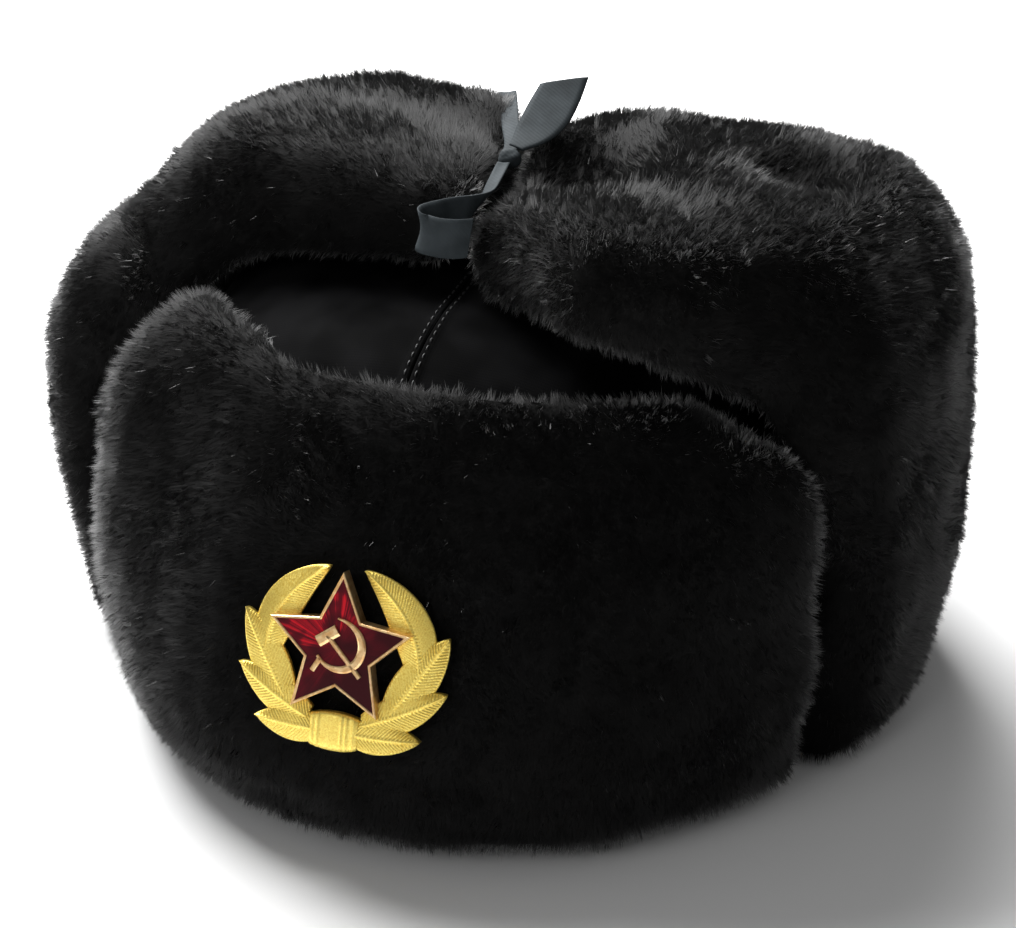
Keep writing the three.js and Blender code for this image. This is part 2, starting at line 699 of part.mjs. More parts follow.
// Bends a flat geometry back towards both sides and stands it on the front flap.
function toFlap(geometry, bent) {
  const p = geometry.getAttribute("position");
  for (let i = 0; bent && i < p.count; i++) {
    const turn = p.getX(i) / badgeBend;
    const r = badgeBend + p.getZ(i);
    p.setXYZ(i, r * Math.sin(turn), p.getY(i), r * Math.cos(turn) - badgeBend);
  }
  geometry.rotateZ(THREE.MathUtils.degToRad(badgeTurn));
  geometry.rotateX(THREE.MathUtils.degToRad(90 - badgeLean));
  return geometry.translate(badgePlace.x, badgePlace.y, badgePlace.z);
}

function badgePlate() {
  const sides = leaves.flatMap((l) => [leaf(l, -1), leaf(l, 1)]);
  const bandOutline = barOutline([-bandHalfLength, bandPlace], [bandHalfLength, bandPlace], bandHalfWidth);
  const band = prism(bandOutline, plateBack, bandFace);
  const wreath = [...sides, band].map(toSolid).reduce((a, b) => a.add(b));
  const bentWreath = toSolid(toFlap(toGeometry(wreath), true));
  const star = toSolid(prism(starPoints(starRadius, starNotch), plateBack, starFace));
  const inner = starPoints(starRadius - rimWidth * tipRim, starNotch - rimWidth);
  const recess = toSolid(prism(inner, starFloor, beyond));
  const figure = emblem(0, starFloor - figureRoot, starFace + figureRise);
  const middle = toSolid(toFlap(toGeometry(star.subtract(recess).add(figure)), false));
  return piece("badge_plate", toGeometry(bentWreath.add(middle)), gilt);
}

function badgeEnamel() {
  const inset = rimWidth + enamelInset;
  const points = starPoints(starRadius - inset * tipRim, starNotch - inset);
  const star = toSolid(prism(points, starFloor + enamelGap, starFace - enamelDrop));
  const cut = emblem(enamelInset, starFloor, beyond);
  return piece("badge_enamel", toFlap(toGeometry(star.subtract(cut)), false), enamel);
}

// The badge's plain post, hidden in the front flap, and the room that the flap leaves for post and plate.
function badgePost() {
  const post = new THREE.CylinderGeometry(postRadius, postRadius, postLength, roundSteps);
  post.rotateX(Math.PI / 2).translate(0, 0, plateBack - seatGap - postLength / 2);
  return piece("badge_post", toFlap(post, false), steel);
}
function badgeRoom() {
  const rings = roomRings;
  const floor = plateBack - seatGap;
  const outline = [
    new THREE.Vector2(0, floor),
    ...Array.from({ length: rings }, (_, i) => new THREE.Vector2((seatHalfWidth * (i + 1)) / rings, floor)),
    new THREE.Vector2(seatHalfWidth, seatTop),
    new THREE.Vector2(0, seatTop),
  ];
  const slab = new THREE.LatheGeometry(outline, roomSteps);
  slab.rotateX(Math.PI / 2).scale(1, seatHalfHeight / seatHalfWidth, 1).translate(0, seatMiddle, 0);
  const holeRadius = postRadius + seatGap;
  const holeLength = postLength + 2 * seatGap;
  const hole = new THREE.CylinderGeometry(holeRadius, holeRadius, holeLength + beyond, roundSteps);
  hole.rotateX(Math.PI / 2).translate(0, 0, floor - holeLength + (holeLength + beyond) / 2);
  return [toFlap(outwards(welded(slab)), true), toFlap(hole, false)].map(toSolid);
}

// A flat woven tape through its stations.
function tape(stations, steps) {
  const path = new THREE.CatmullRomCurve3(stations.map((s) => new THREE.Vector3(...s.at)));
  const across = new THREE.CatmullRomCurve3(stations.map((s) => new THREE.Vector3(...s.across)));
  const rings = Array.from({ length: steps + 1 }, (_, i) => {
    const t = i / steps;
    const k = Math.min(Math.floor(t * (stations.length - 1)), stations.length - 2);
    const rest = t * (stations.length - 1) - k;
    const half = THREE.MathUtils.lerp(stations[k].half, stations[k + 1].half, rest);
    const skew = THREE.MathUtils.lerp(stations[k].skew, stations[k + 1].skew, rest);
    const middle = path.getPoint(t);
    const along = path.getTangent(t);
    const wide = across.getPoint(t);
    wide.addScaledVector(along, -wide.dot(along)).normalize();
    const thick = new THREE.Vector3().crossVectors(along, wide).multiplyScalar(tapeThickness / 2);
    wide.addScaledVector(along, skew).multiplyScalar(half);
    const corners = [
      [-1, -1],
      [1, -1],
      [1, 1],
      [-1, 1],
    ];
    return corners.map(([w, n]) => middle.clone().addScaledVector(wide, w).addScaledVector(thick, n));
  });
  return loft(rings);
}

// The lump where the tapes are tied.
function knot() {
  const ball = new THREE.SphereGeometry(1, knotSteps, knotRings).scale(knotHalf.x, knotHalf.y, knotHalf.z);
  return ball.translate(knotPlace.x, knotPlace.y, knotPlace.z);
}

const hat = new THREE.Group();
const frontFlap = flap("front_flap", frontRows, frontCounts, [lowSeam, lowSeam], frontDents);
frontFlap.geometry = toGeometry(badgeRoom().reduce((a, b) => a.subtract(b), toSolid(frontFlap.geometry)));
hat.add(...crownPanels());
hat.add(frontFlap);
hat.add(flap("ear_flap_left", leftEarRows, earCounts, [lowSeam, highSeam], leftEarDents));
hat.add(flap("ear_flap_right", rightEarRows, earCounts, [highSeam, lowSeam], rightEarDents));
hat.add(flap("neck_flap", neckRows, neckCounts, [highSeam, highSeam], []));
hat.add(badgePlate());
hat.add(badgeEnamel());
hat.add(badgePost());
hat.add(piece("tie_bow", tape(bowStations, bowSteps), ribbon));
hat.add(piece("tie_strand", tape(strandStations, tapeSteps), ribbon));
hat.add(piece("tie_knot", knot(), ribbon));
hat.add(piece("tie_tail", tape(tailStations, tapeSteps), ribbon));
for (const mesh of hat.children) mesh.geometry.translate(boxMiddle.x, boxMiddle.y, 0);

export default hat;
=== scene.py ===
"""A black fur winter hat: a cloth crown, four fur flaps, the tapes that tie two of them, and a gilt badge."""
import math

import bmesh
import bpy
import numpy as np
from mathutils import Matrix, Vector, kdtree, noise


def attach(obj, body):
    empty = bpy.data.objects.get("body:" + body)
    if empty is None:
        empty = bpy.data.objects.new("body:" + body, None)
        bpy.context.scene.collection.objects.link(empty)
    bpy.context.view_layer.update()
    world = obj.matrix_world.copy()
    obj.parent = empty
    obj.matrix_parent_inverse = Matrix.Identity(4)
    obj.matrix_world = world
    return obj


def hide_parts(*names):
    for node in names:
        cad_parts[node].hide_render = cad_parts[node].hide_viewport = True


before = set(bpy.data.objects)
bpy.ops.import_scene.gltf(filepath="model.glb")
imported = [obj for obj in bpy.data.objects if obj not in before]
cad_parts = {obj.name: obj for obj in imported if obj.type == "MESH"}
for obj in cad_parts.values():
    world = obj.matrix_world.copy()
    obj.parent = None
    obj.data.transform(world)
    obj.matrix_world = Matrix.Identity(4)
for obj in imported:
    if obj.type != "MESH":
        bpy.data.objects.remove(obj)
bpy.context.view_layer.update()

MM = 0.001
TINY = 1e-12  # keeps a length that is divided by above zero

# The photograph's camera, its angles in degrees
CAMERA_AZIMUTH = 19.5
CAMERA_ELEVATION = 25.0
CAMERA_DISTANCE = 0.7
CAMERA_TARGET = Vector((0.0026, 0.0014, 0.056))
CAMERA_LENS = 85.04
CAMERA_RANGE = (0.01, 20)
SENSOR_WIDTH = 36.0

# Floor and lights: each light's place, its size and its power
FLOOR_HALF_SIDE = 3.0
FLOOR_DROP = 0.0002
LIGHT_TARGET = Vector((0, 0, 0.07))
LIGHTS = {
    "key": ((-0.7, 0.66, 1.1), (1.3, 1.1), 80),
    "front_fill": ((-0.5, -1.3, 0.75), (0.9, 0.7), 3.2),
}
SKY_STRENGTH = 0.235

# The flaps' padded bodies
PILE_DEPTH = 0.0025  # how far a body lies inside its solid, whose surface is where the pile ends
VOXEL = 0.0025
SMOOTHING_ROUNDS = 14
SHRINK = 0.6  # how far a smoothing round moves a point in
SWELL = -0.62  # and how far the next one moves it back out
LUMPS = ((0.0013, 0.028, 0), (0.0006, 0.011, 5))  # each a height, a size and a step on from the flap's seed
SEED_SHIFTS = (1.7, 2.3, 0.9)  # how far the noise moves for each step of a seed
FLOOR_GAP = 0.0003  # how far the fur stays above the floor

# Where a flap's body is drawn out or pressed in, in millimetres: a middle, a radius and a shift
SHAPING = {
    "front_flap": [
        ((100, -66, 98), 14, (1, 3, 3)),
        ((110, -57, 75), 16, (2.5, 4.5, 0)),
        ((108, -57, 40), 16, (2.5, 4.5, 0)),
    ],
    "ear_flap_right": [
        ((-111, -24, 118), 18, (-4, 2, 5)),
        ((-45, 5, 164), 40, (0, 0, 2.2)),
        ((-8, 20, 156), 14, (2, 0, 4)),
        ((-72, 34, 158), 12, (0, 0, -5)),
        ((-40, -2, 163), 6, (0, 0, -2)),
    ],
    "ear_flap_left": [
        ((20, -53, 134), 14, (-3, -3, -5)),
        ((30, 18, 158), 22, (0, 0, 3.5)),
        ((14, -4, 152), 13, (-4, 0, 6)),
        ((101, -52, 103), 15, (-4, -7, -4)),
        ((110, -57, 75), 16, (-2.5, -4.5, 0)),
        ((108, -57, 40), 16, (-2.5, -4.5, 0)),
        ((30, -24, 154), 13, (0, 0, -4)),
        ((84, -2, 156), 11, (0, 0, -5)),
    ],
    "neck_flap": [],
}

# Pile: the direction that each flap's lies in, and its seed
FLAPS = [
    ("front_flap", (-0.15, -0.2, -1.0), 3),
    ("ear_flap_right", (-0.7, -0.4, -0.6), 8),
    ("ear_flap_left", (0.7, -0.3, -0.6), 14),
    ("neck_flap", (0.0, 0.2, -1.0), 21),
]
HAIRS = 176000
TUFTS = 15000
HAIR_WIDTH = 0.00023
HAIR_LENGTH = 0.0033
UPRIGHT = 0.74  # of a hair's length, away from the surface
LAID = 0.55  # of it, along the surface
SWIRL = 1.7  # how strongly the pile turns this way and that
SWIRL_SIZE = 0.024
SWIRL_SEEDS = (11, 23, 37)
TUFT_LENGTHS = (0.8, 1.12)  # of the hair's length
TUFT_STRAY = 0.45
TUFT_PULL = 0.35  # how far a hair's tip is drawn to its tuft's
HAIR_LENGTHS = (0.8, 1.06)  # of its tuft's length
HAIR_STRAY = 0.3
TIP_STRAY = 0.0003
ROLL = 0.22  # how far hairs turn about their own length
HALF_WIDTHS = (0.35, 0.65)  # of the hair's width
SHADING_LEAN = 0.12  # how far a hair's shading leans to its tip
SHADING_STRAY = 0.055
HAT_MIDDLE = np.array([0.006, 0.0, 0.06])  # which the flaps' inner sides face
INNER_SHARE = 0.04  # how much of the full pile an inner side has
INNER_FACING = 0.6  # how straight a fully inner side looks at the middle
INNER_FADE = 0.4  # and over how much less than that the pile grows full

# Crown, in millimetres, as in the solid. Its levels are heights, each with its share of the plan
CROWN_HALF_WIDTH = 91
CROWN_HALF_LENGTH = 103
CROWN_WALL = 3
PLAN_POWER = 2.3
CROWN_MIDDLE = Vector((6.2, 0.5, 0))
CROWN_LEVELS = [
    (0, 1.0),
    (30, 1.01),
    (60, 1.01),
    (86, 0.985),
    (102, 0.94),
    (112, 0.88),
    (119.5, 0.79),
    (124.5, 0.66),
    (127.5, 0.5),
    (129.2, 0.3),
    (130, 0.02),
]
CROWN_TURNS = 96
CROWN_RISE = 60
RISE_POWER = 1.25  # draws the cloth's points together at the top
WALL_TURN = 1.1  # times the cube of a level's share, how much of the wall's depth goes sideways
GIRTH_STEPS = 100
DOME_BASE = 60  # above it the cloth's outside faces up as well
DOME_LIFT = 1.4
CLOTH_SINK = 0.6
CLOTH_WAVES = ((0.9, 26, Vector((4, 1, 7))), (0.25, 9, Vector((0, 0, 0))))  # each a height, a size, a shift

# The crown's seam and its stitches
SEAM_HALF_GAP = 0.16
SEAM_DEPTH = 0.45
SEAM_HALF_WIDTH = 0.4
SEAM_CLOSENESS = 0.93  # how much closer together the cloth's points are at the seam
WELT_HALF_WIDTH = 2.5
WELT_RISE = 0.4
WELT_EDGE = 4  # how steeply the welt ends
STITCH_LENGTH = 2.3
STITCH_STEP = 3.0
STITCH_OFFSET = 1.45
STITCH_THICK = 0.55
STITCH_FORM = ((0.0, 0.35), (0.2, 0.9), (0.5, 1.0), (0.8, 0.9), (1.0, 0.35))  # a place and its thickness
STITCH_SIDES = 6
STITCH_ENDS = -0.25  # how high over the cloth a stitch's ends lie
STITCH_ARCH = 0.35
LOOK_AHEAD = 0.3  # over how much of the seam its direction is taken
INSIDE_HEIGHT = 40  # a stitch's outside faces away from this height on the crown's axis
SEAM_MARGIN = 4.0
SEAM_STEPS = 200

# Badge, in millimetres in its own frame, as in the solid: x across, y up and z out of the flap
BADGE_PLACE = Vector((4.2, -126.5, 62.5))
BADGE_LEAN = 17.0  # in degrees, back from upright
BADGE_TURN = 0.5  # in degrees
BADGE_BEND = 160.0  # the radius of the wreath's bend
PLATE_BACK = -2.2
STAR_CORNERS = 10
STAR_RADIUS = 19.5
STAR_NOTCH = 9.3
RIM_WIDTH = 0.8
RIM_ROUND = 0.2
TIP_RIM = 2.2  # how many times wider the rim is at the star's tips than at its notches
STAR_FLOOR = 0.5
STAR_FACE = 1.5
ENAMEL_FACE = 1.3
ENAMEL_GAP = 0.05
FIGURE_SINK = 0.2
FIGURE_RISE = 0.35
CHAMFER = 0.25
CHAMFER_SHARE = 0.22
BLADE_STEPS = 36

# A leaf's base, bend and tip, its greatest width and the height of its edges
LEAVES = [
    ((20.5, -5.0), (20.5, 10.5), (4.6, 20.0), 10.6, -1.0),
    ((14.0, -14.5), (20.6, -5.0), (27.3, 6.0), 10.6, -0.75),
    ((7.5, -18.3), (17.5, -14.4), (27.9, -7.9), 9.4, -0.5),
    ((3.5, -20.9), (12.0, -21.2), (22.2, -20.5), 8.6, -0.25),
]
LEAF_GRID = (150, 26)
LEAF_START = 0.16  # the share of its round form that a leaf lacks at its base
LEAF_FULLNESS = 0.75
LEAF_TIP = 0.12  # the least half width
LEAF_SINK = 0.4
LEAF_SWELL = 1.8  # how sharply a leaf's face falls off to its edges
FULL_HALF_WIDTH = 3  # from this half width on, a leaf has its full height
RIB_RISE = 0.3
RIB_HALF_WIDTH = 0.32
VEIN_SPACING = 0.95
VEIN_SLANT = 0.95
VEIN_RISE = 0.25
VEIN_FROM_RIB = (0.3, 0.8)  # over this stretch the veins grow
VEIN_TO_EDGE = (0.15, 0.6)  # and over this one they fade

# The band that holds the branches together, with the places and widths of its ribs
BAND_GRID = (70, 10)
BAND_HALF_LENGTH = 6.4
BAND_MIDDLE = -20.9
BAND_HALF_WIDTH = 3.9
BAND_BULGE = 0.9
BAND_FACE = 0.55
BAND_RIBS = ((-5.6, 0.45), (-4.1, 0.45), (2.2, 0.4), (3.5, 0.4), (5.4, 0.6))
BAND_RIB_RISE = 0.28
BAND_EDGE_FALL = 0.35
BAND_END_FALL = 0.3

# The sickle's blade, as points with half widths, and bars for its grip and the hammer
BLADE = [
    (-0.4, 7.9, 0.2),
    (2.6, 6.9, 0.5),
    (5.3, 4.6, 0.85),
    (6.4, 1.2, 1.05),
    (5.4, -2.2, 1.1),
    (2.9, -4.3, 1.0),
    (-0.2, -4.9, 0.75),
    (-3.2, -4.0, 0.5),
    (-5.2, -2.1, 0.35),
]
BARS = [
    ((-5.3, 1.4), (-0.4, 4.9), 1.45),
    ((-2.9, 3.2), (6.3, -6.1), 0.6),
    ((-4.4, -2.7), (-6.3, -6.0), 0.65),
]

# Tapes, in millimetres: stations, each a middle, the direction across, a half width and a slant
TAPE_WIDTH = 14.0  # where it lies flat, as in the tail
TAPE_THICK = 0.7
TAPE_SHIFT = Vector((6.2, 0.5, 0))
TAPE_ACROSS = 8
TAPE_CUP = 0.25
TAPE_MIDDLE = 0.8  # of its thickness, along the middle
TAPE_EDGE = 0.5  # and of it, at the very edge
CURVE_STEP = 0.01  # how far before and after a place a tape's direction is taken from
BOW = [
    ((3.4, -22.3, 155.2), (1, 0, 0), 1.7, 0),
    ((4.2, -32, 153), (0.95, 0, 0.4), 2.2, 0),
    ((4.8, -40, 151.4), (0.7, 0, 0.75), 3.0, 0),
    ((3.4, -47.5, 150.8), (0.35, 0.15, 0.95), 3.9, 0),
    ((-1.4, -52.8, 149.8), (0.1, 0.3, 1), 4.6, 0),
    ((-5.6, -56.4, 148.6), (0, 0.35, 1), 4.9, 0),
    ((-5.2, -60.0, 147.5), (0, 0.35, 1), 5.0, 0),
    ((-0.4, -61.6, 147.2), (0, 0.3, 1), 5.0, 0),
    ((4.4, -61.2, 147.2), (0, 0.3, 1), 5.0, 0.1),
    ((7.6, -59.4, 147.3), (0, 0.3, 1), 4.8, 0.25),
]
STRAND = [
    ((-14, 30, 158.5), (1, 0.4, 0.1), 2.6, 0),
    ((-9, 17, 158.8), (1, 0.3, 0.3), 2.6, 0),
    ((-3.4, 2.5, 158.3), (1, 0.2, 0.5), 2.5, 0),
    ((1.3, -9, 157.3), (1, 0, 0.4), 2.4, 0),
    ((2.8, -15.0, 156), (1, 0, 0.2), 2.2, 0),
]
TAIL = [
    ((4.8, -16.6, 158.2), (1, 0, 0.1), 2.6, 0),
    ((7.6, -11.5, 160.6), (1, 0, 0.1), 5.8, 0),
    ((9.6, -6.5, 163.8), (1, 0, 0.1), 7.0, 0),
    ((10.6, -1.4, 167.4), (1, 0, 0.1), 7.0, 0.15),
    ((11.4, 4, 171.6), (1, 0, 0.1), 6.4, 0.35),
]
TAPES = [("tie_bow", BOW, 90, "folded"), ("tie_strand", STRAND, 50, "hung"), ("tie_tail", TAIL, 40, "hung")]

# The knot, in metres
KNOT_VOXEL = 0.00035
KNOT_ROUNDS = 2
KNOT_FOLD_SIZE = 0.0022
KNOT_FOLD_RISE = 0.00035
KNOT_SEED = 4


# Materials


def rgba(red, green, blue):
    return (red, green, blue, 1.0)


def grey(level):
    return rgba(level, level, level)


def new_material(name):
    """A node material, with its node tree and its shader."""
    made = bpy.data.materials.new(name)
    made.use_nodes = True
    tree = made.node_tree
    return made, tree, tree.nodes["Principled BSDF"]


def node(tree, kind, **values):
    """A new node, with values for its sockets or, where it has no such socket, its settings."""
    made = tree.nodes.new(kind)
    for key, value in values.items():
        if key in made.inputs:
            made.inputs[key].default_value = value
        else:
            setattr(made, key, value)
    return made


def noise_of(tree, scale, detail, rough=0.5):
    """A noise texture over the piece's own coordinates."""
    place = tree.nodes.new("ShaderNodeTexCoord")
    made = node(tree, "ShaderNodeTexNoise", Scale=scale, Detail=detail, Roughness=rough)
    tree.links.new(place.outputs["Object"], made.inputs["Vector"])
    return made


def wave_of(tree, direction, scale, distortion):
    """Fine waves over the piece's own coordinates."""
    place = tree.nodes.new("ShaderNodeTexCoord")
    made = node(tree, "ShaderNodeTexWave", Scale=scale, Distortion=distortion, bands_direction=direction)
    tree.links.new(place.outputs["Object"], made.inputs["Vector"])
    return made


def math_of(tree, operation, first, second, clamped=False):
    """One step of arithmetic on two values, each an output or a number."""
    made = node(tree, "ShaderNodeMath", operation=operation, use_clamp=clamped)
    for socket, value in zip(made.inputs, (first, second)):
        if isinstance(value, (int, float)):
            socket.default_value = value
        else:
            tree.links.new(value, socket)
    return made.outputs["Value"]


def ramp_of(tree, source, stops):
    """A ramp of colours over a value."""
    made = tree.nodes.new("ShaderNodeValToRGB")
    elements = made.color_ramp.elements
    while len(elements) < len(stops):
        elements.new(0.5)
    for element, (at, colour) in zip(elements, stops):
        element.position = at
        element.color = colour
    tree.links.new(source, made.inputs["Fac"])
    return made.outputs["Color"]


def bump_of(tree, shader, source, strength, distance):
    """Gives a shader bumps as high as a value says."""
    made = node(tree, "ShaderNodeBump", Strength=strength, Distance=distance)
    tree.links.new(source, made.inputs["Height"])
    tree.links.new(made.outputs["Normal"], shader.inputs["Normal"])


def fur_material():
    """Black pile whose colour changes a little from tuft to tuft."""
    made, tree, shader = new_material("fur")
    tufts = noise_of(tree, 62, 7, 0.66)
    stops = [(0.36, rgba(0.0022, 0.0021, 0.0021)), (0.66, rgba(0.0086, 0.0084, 0.0083))]
    tree.links.new(ramp_of(tree, tufts.outputs["Fac"], stops), shader.inputs["Base Color"])
    shader.inputs["Roughness"].default_value = 0.65
    shader.inputs["Specular IOR Level"].default_value = 0.05
    shader.inputs["Sheen Weight"].default_value = 0.36
    shader.inputs["Sheen Roughness"].default_value = 0.35
    return made


def ground_material():
    """The dark ground under the pile."""
    made, tree, shader = new_material("fur_ground")
    grain = noise_of(tree, 900, 5, 0.7)
    stops = [(0.35, grey(0.003)), (0.7, rgba(0.011, 0.0108, 0.0105))]
    tree.links.new(ramp_of(tree, grain.outputs["Fac"], stops), shader.inputs["Base Color"])
    shader.inputs["Roughness"].default_value = 0.9
    shader.inputs["Specular IOR Level"].default_value = 0.1
    bump_of(tree, shader, grain.outputs["Fac"], 0.8, 0.0008)
    return made


def cloth_material():
    """Smooth black cloth, finely woven, softly mottled."""
    made, tree, shader = new_material("crown_cloth")
    threads = [wave_of(tree, direction, 420.0, 0.6).outputs["Fac"] for direction in ("X", "Y")]
    woven = math_of(tree, "MULTIPLY", *threads)
    wear = noise_of(tree, 62, 2.5, 0.45)
    stops = [(0.38, rgba(0.0008, 0.0008, 0.0009)), (0.66, rgba(0.0052, 0.0052, 0.0056))]
    tree.links.new(ramp_of(tree, wear.outputs["Fac"], stops), shader.inputs["Base Color"])
    shader.inputs["Roughness"].default_value = 0.85
    shader.inputs["Specular IOR Level"].default_value = 0.03
    bump_of(tree, shader, woven, 0.2, 0.00015)
    return made


def thread_material():
    """Twisted dark thread."""
    made, tree, shader = new_material("thread")
    twist = noise_of(tree, 2600, 2)
    stops = [(0.3, rgba(0.008, 0.008, 0.0085)), (0.7, rgba(0.018, 0.018, 0.019))]
    tree.links.new(ramp_of(tree, twist.outputs["Fac"], stops), shader.inputs["Base Color"])
    shader.inputs["Roughness"].default_value = 0.6
    bump_of(tree, shader, twist.outputs["Fac"], 0.5, 0.0001)
    return made


def tape_material():
    """Slate-grey woven tape."""
    made, tree, shader = new_material("tape")
    ribs = wave_of(tree, "DIAGONAL", 430.0, 1.0)
    shade = noise_of(tree, 160, 4)
    stops = [(0.3, rgba(0.023, 0.028, 0.031)), (0.7, rgba(0.04, 0.048, 0.053))]
    tree.links.new(ramp_of(tree, shade.outputs["Fac"], stops), shader.inputs["Base Color"])
    shader.inputs["Roughness"].default_value = 0.75
    shader.inputs["Specular IOR Level"].default_value = 0.08
    bump_of(tree, shader, ribs.outputs["Fac"], 0.25, 0.0001)
    return made


def gilt_material():
    """Gilt, matte and finely speckled."""
    made, tree, shader = new_material("gilt")
    specks = noise_of(tree, 2300, 3, 0.65)
    tones = [(0.36, rgba(0.82, 0.58, 0.1)), (0.64, rgba(1.0, 0.81, 0.22))]
    polish = [(0.35, grey(0.55)), (0.65, grey(0.36))]
    tree.links.new(ramp_of(tree, specks.outputs["Fac"], tones), shader.inputs["Base Color"])
    tree.links.new(ramp_of(tree, specks.outputs["Fac"], polish), shader.inputs["Roughness"])
    shader.inputs["Metallic"].default_value = 0.9
    bump_of(tree, shader, specks.outputs["Fac"], 0.15, 0.00006)
    return made


def rim_material():
    """The polished, slightly pinker gilt of the star's rim and its figure."""
    made, tree, shader = new_material("gilt_rim")
    wear = noise_of(tree, 700, 3)
    stops = [(0.35, rgba(0.74, 0.42, 0.17)), (0.65, rgba(0.95, 0.68, 0.36))]
    tree.links.new(ramp_of(tree, wear.outputs["Fac"], stops), shader.inputs["Base Color"])
    shader.inputs["Roughness"].default_value = 0.3
    shader.inputs["Metallic"].default_value = 0.9
    bump_of(tree, shader, wear.outputs["Fac"], 0.15, 0.00008)
    return made


def enamel_material():
    """Clear dark red enamel over a ground of rays from the middle of the star, the rays lightened by a
    painted highlight in soft blotches and most to the upper left, where the light falls.
    """
    made, tree, shader = new_material("enamel")
    place = node(tree, "ShaderNodeUVMap", uv_map="badge").outputs["UV"]
    parts = tree.nodes.new("ShaderNodeSeparateXYZ")
    tree.links.new(place, parts.inputs["Vector"])
    turn = math_of(tree, "ARCTAN2", parts.outputs["Y"], parts.outputs["X"])
    rays = node(tree, "ShaderNodeTexNoise", noise_dimensions="1D", Scale=9.0, Detail=5.0, Roughness=0.75)
    tree.links.new(turn, rays.inputs["W"])
    # painted highlight: soft noise blotches in which the rays are painted as catching the light
    glint_blotch_noise = node(tree, "ShaderNodeTexNoise", Scale=0.14, Detail=1.0)
    tree.links.new(place, glint_blotch_noise.inputs["Vector"])
    painted_glint_blotches = ramp_of(tree, glint_blotch_noise.outputs["Fac"], [(0.36, grey(0.2)), (0.56, grey(1))])
    # painted highlight: the rays are made lighter to the upper left of the star, the side the light falls
    # from, and less to the lower right
    painted_light_dot = node(tree, "ShaderNodeVectorMath", operation="DOT_PRODUCT")
    painted_light_dot.inputs[1].default_value = (-0.045, 0.05, 0)
    tree.links.new(place, painted_light_dot.inputs[0])
    side = math_of(tree, "ADD", painted_light_dot.outputs["Value"], 0.72, clamped=True)
    painted_glint_mask = math_of(tree, "MULTIPLY", side, painted_glint_blotches)
    rays_and_painted_glint = math_of(tree, "MULTIPLY", rays.outputs["Fac"], painted_glint_mask)
    # dark red is the enamel's own colour; the light red end is the painted highlight on the rays
    stops = [
        (0.1, rgba(0.036, 0.0005, 0.003)),
        (0.42, rgba(0.115, 0.0018, 0.008)),
        (0.63, rgba(0.58, 0.008, 0.018)),
    ]
    tree.links.new(ramp_of(tree, rays_and_painted_glint, stops), shader.inputs["Base Color"])
    shader.inputs["Roughness"].default_value = 0.25
    shader.inputs["Specular IOR Level"].default_value = 0.15
    shader.inputs["Coat Weight"].default_value = 0.15
    shader.inputs["Coat Roughness"].default_value = 0.05
    return made


def steel_material():
    """Plain steel with a fine grain."""
    made, tree, shader = new_material("steel")
    grain = noise_of(tree, 900, 3)
    polish = ramp_of(tree, grain.outputs["Fac"], [(0.3, grey(0.3)), (0.7, grey(0.45))])
    tree.links.new(polish, shader.inputs["Roughness"])
    shader.inputs["Base Color"].default_value = rgba(0.5, 0.5, 0.51)
    shader.inputs["Metallic"].default_value = 1.0
    return made


def floor_material():
    """A pale, matte, nearly even floor."""
    made, tree, shader = new_material("floor")
    grain = noise_of(tree, 6, 2)
    tone = ramp_of(tree, grain.outputs["Fac"], [(0.3, grey(0.88)), (0.7, grey(0.9))])
    tree.links.new(tone, shader.inputs["Base Color"])
    shader.inputs["Roughness"].default_value = 0.8
    return made


# Shared steps


def piece(name, mesh, material, replaced=()):
    """A mesh piece that rides on the hat."""
    made = bpy.data.objects.new(name, mesh)
    bpy.context.scene.collection.objects.link(made)
    mesh.materials.clear()
    mesh.materials.append(material)
    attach(made, "root")
    if replaced:
        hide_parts(*replaced)
    return made


def mesh_of(name, points, faces, smooth=True):
    mesh = bpy.data.meshes.new(name)
    mesh.from_pydata([tuple(p) for p in points], [], faces)
    mesh.validate()
    mesh.update()
    if smooth:
        mesh.shade_smooth()
    return mesh


def positions_of(mesh):
    found = np.empty(len(mesh.vertices) * 3)
    mesh.vertices.foreach_get("co", found)
    return found.reshape(-1, 3)


def normals_of(mesh):
    found = np.empty(len(mesh.vertices) * 3)
    mesh.vertex_normals.foreach_get("vector", found)
    return found.reshape(-1, 3)


def place_points(mesh, points):
    mesh.vertices.foreach_set("co", points.ravel())
    mesh.update()


def unit(vectors):
    length = np.linalg.norm(vectors, axis=-1, keepdims=True)
    return vectors / np.maximum(length, TINY)


def tube_faces(first, steps, ring):
    """The faces of a closed tube of rings of points."""
    faces = []
    for i in range(steps):
        for k in range(ring):
            a = first + i * ring + k
            b = first + i * ring + (k + 1) % ring
            faces.append((a, b, b + ring, a + ring))
    faces.append(tuple(range(first + ring - 1, first - 1, -1)))
    faces.append(tuple(first + steps * ring + k for k in range(ring)))
    return faces


def curve_terms(rows, place):
    """The values and slopes at both ends of a curve's stretch, and how far along it a place is."""
    k = min(int(place), len(rows) - 2)
    near = [rows[min(max(k + d, 0), len(rows) - 1)] for d in (-1, 0, 1, 2)]
    return [(p1, p2, (p2 - p0) / 2, (p3 - p1) / 2) for p0, p1, p2, p3 in zip(*near)], place - k


def curve_point(rows, place):
    """A point on the Catmull-Rom curve through rows of numbers."""
    terms, s = curve_terms(rows, place)
    return [
        (2 * a - 2 * b + v + w) * s**3 + (-3 * a + 3 * b - 2 * v - w) * s**2 + v * s + a
        for a, b, v, w in terms
    ]


def curve_slope(rows, place):
    """The slope of the same curve."""
    terms, s = curve_terms(rows, place)
    return [
        (6 * a - 6 * b + 3 * v + 3 * w) * s**2 + (-6 * a + 6 * b - 4 * v - 2 * w) * s + v
        for a, b, v, w in terms
    ]


